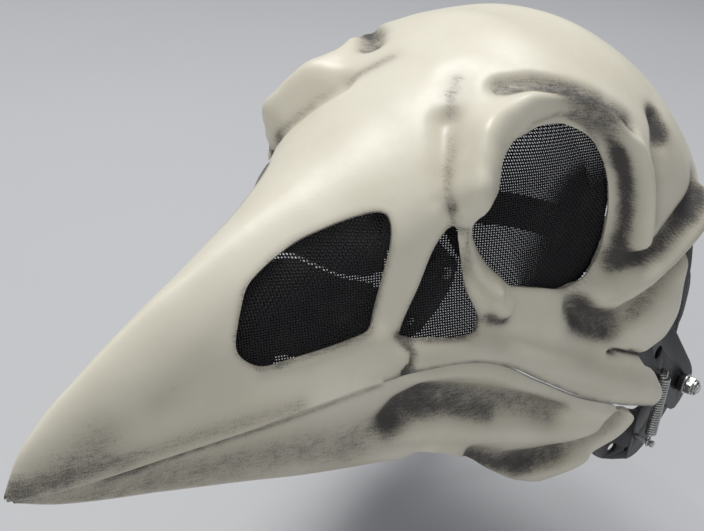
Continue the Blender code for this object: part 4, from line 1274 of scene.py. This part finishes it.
def cross_strap(name, half, level, wide_axis, shift, body, node):
    """A band from side to side: half its path and that half's mirror image.

    The path lies at one level of wide_axis, 1 for y or 2 for z, along which the width runs.
    On the remaining axis the band is moved by half its thickness, times shift.
    """
    half = rounded_path(np.array(half, float), 6)
    flat = np.vstack([(half * [-1, 1])[:0:-1], half])
    centre = np.insert(flat, wide_axis, level, axis=1)
    wide = np.tile(np.eye(3)[wide_axis], (len(centre), 1))
    face = facing(centre, wide)
    beyond = np.sign(face[len(face) // 2, 3 - wide_axis])
    centre = centre + face * beyond * shift * CROSS_THICKNESS / 2
    band = strap_piece(name, centre, facing(centre, wide), wide, CROSS_THICKNESS, webbing)
    declare(band, body, node)


cross_strap("nape_webbing", NAPE_HALF, NAPE_LEVEL, 2, -1, "skull", "nape_strap")
cross_strap("chin_webbing", CHIN_HALF, SLING_Y, 1, 1, "jaw", "chin_strap")

# ------------------------------------------------------------------ strap slider
# A moulded nylon tri-glide that takes up the spare length of the nape strap.
glide = bevelled_copy("strap_slider", "nape_slider", black_nylon, 0.6)
declare(glide, "slider", "strap_slider")

# ------------------------------------------------------------------ foam pads
# Soft foam in a black knitted cover, sewn round the edge over a thin cord: crown, brow, both
# sides of the head, and the chin cup on its sling.
PAD_STEPS = 36
WELT_RADIUS = 0.7


def knit_finish():
    """A fine knit: a pattern of small cells and a soft cloud on the surface, under a soft sheen."""
    finish, shader, place = begin_finish("black_knit_cover")
    loops = place.node("TexVoronoi", {"feature": "F1"}, 0, Vector=place, Scale=1100.0)
    cloud = place.noise(90.0, 3.0)
    feed(shader, Base_Color=(loops * 0.9 + cloud * 0.3).step(0.2, 1.0).mix(
        colour(0.028, 0.028, 0.031), colour(0.010, 0.010, 0.012)),
         Roughness=0.86 + cloud * 0.1, Normal=(loops * -1.0 + cloud * 0.5).bumps(0.0005, 0.7))
    shader.inputs["Sheen Weight"].default_value = 0.3
    return finish


def pad_points(top, bottom, half_a, half_b):
    """Two crowned skins that meet at a seam, over a rounded rectangle of half-sizes a and b.

    Each skin is the middle height plus or minus half the depth, times the swell: one less
    the sixth power of both coordinates, to the power 0.42. The sides pull in by 4%.
    """
    line = np.sin(np.linspace(-1, 1, PAD_STEPS + 1) * math.pi / 2)
    a, b = np.meshgrid(line, line, indexing="ij")
    disc = 0.14
    wide = a * (1 - disc * b ** 4) * (1 - 0.04 * (1 - b ** 2)) * half_a
    deep = b * (1 - disc * a ** 4) * (1 - 0.04 * (1 - a ** 2)) * half_b
    swell = (np.clip(1 - a ** 6, 0, 1) * np.clip(1 - b ** 6, 0, 1)) ** 0.42
    high, low = top(wide, deep), bottom(wide, deep)
    middle, depth = (high + low) / 2, (high - low) / 2
    return wide, deep, middle + depth * swell, middle - depth * swell


def pad_mesh(wide, deep, high, low, place_at):
    """Join the upper and lower skins along their shared edge, and give the edge's loop."""
    count = PAD_STEPS + 1
    upper = np.arange(count * count).reshape(count, count)
    rim = np.ones((count, count), bool)
    rim[1:-1, 1:-1] = False
    lower = np.where(rim, upper, upper + count * count)

    def cells(number):
        return np.stack([number[:-1, :-1], number[1:, :-1], number[1:, 1:], number[:-1, 1:]],
                        -1).reshape(-1, 4)

    points = np.concatenate([place_at(wide, deep, high).reshape(-1, 3),
                             place_at(wide, deep, low).reshape(-1, 3)])
    faces = np.concatenate([cells(upper), cells(lower)[:, ::-1]])
    loop = np.concatenate([upper[:-1, 0], upper[-1, :-1], upper[:0:-1, -1], upper[0, :0:-1]])
    return points, faces, points[loop]


def make_pad(name, node, body, top, bottom, half_a, half_b, place_at):
    """A covered pad with its welt, standing for one CAD node."""
    points, faces, loop = pad_mesh(*pad_points(top, bottom, half_a, half_b), place_at)
    pad = make_piece(name, points, faces, [knit])
    crisp(pad, 80)
    declare(pad, body, node)
    rings = wire_tube(np.vstack([loop, loop[:2]]), WELT_RADIUS, 8)[:-2]
    points, faces = closed_rings(rings, True)
    welt = make_piece(name + "_welt", points, faces, [knit])
    crisp(welt, 80)
    declare(welt, body)


def roof(inset, y_middle):
    """Height of the skull's inner roof over a pad centred at y_middle."""
    def height(x, y):
        row = along_stations(SKULL_STATIONS, y + y_middle)
        top, wide, shoulder, _, _, power = np.moveaxis(row, -1, 0)
        share = np.clip(1 - (np.abs(x) / (wide - inset)) ** power, 0, 1) ** (1 / power)
        return shoulder + (top - inset - shoulder) * share
    return height


def level_at(value):
    """A flat height everywhere."""
    return lambda x, y: 0 * x + value


knit = knit_finish()
make_pad("crown_cushion", "crown_pad", "skull", roof(4.0, 0.0), level_at(-DATUM_Z), 27.2, 25.2,
         lambda x, y, z: np.stack([x, y, z], -1))
make_pad("brow_cushion", "brow_pad", "skull", roof(9.5, -86.0), level_at(-46.0), 32.0, 11.2,
         lambda x, y, z: np.stack([x, y - 86.0, z], -1))
make_pad("chin_cushion", "chin_pad", "jaw", lambda x, y: -208 + 3 * (x / 30) ** 2,
         level_at(-217.4), 29.2, 17.2, lambda x, y, z: np.stack([x, y - 46.0, z], -1))
for side, word in ((1, "left"), (-1, "right")):
    make_pad(f"side_cushion_{word}", f"side_pad_{word}", "skull", level_at(85.2), level_at(76.2),
             22.0, 21.2, lambda y, z, x, side=side: np.stack([side * x, y + 1.0, z - 96.0], -1))
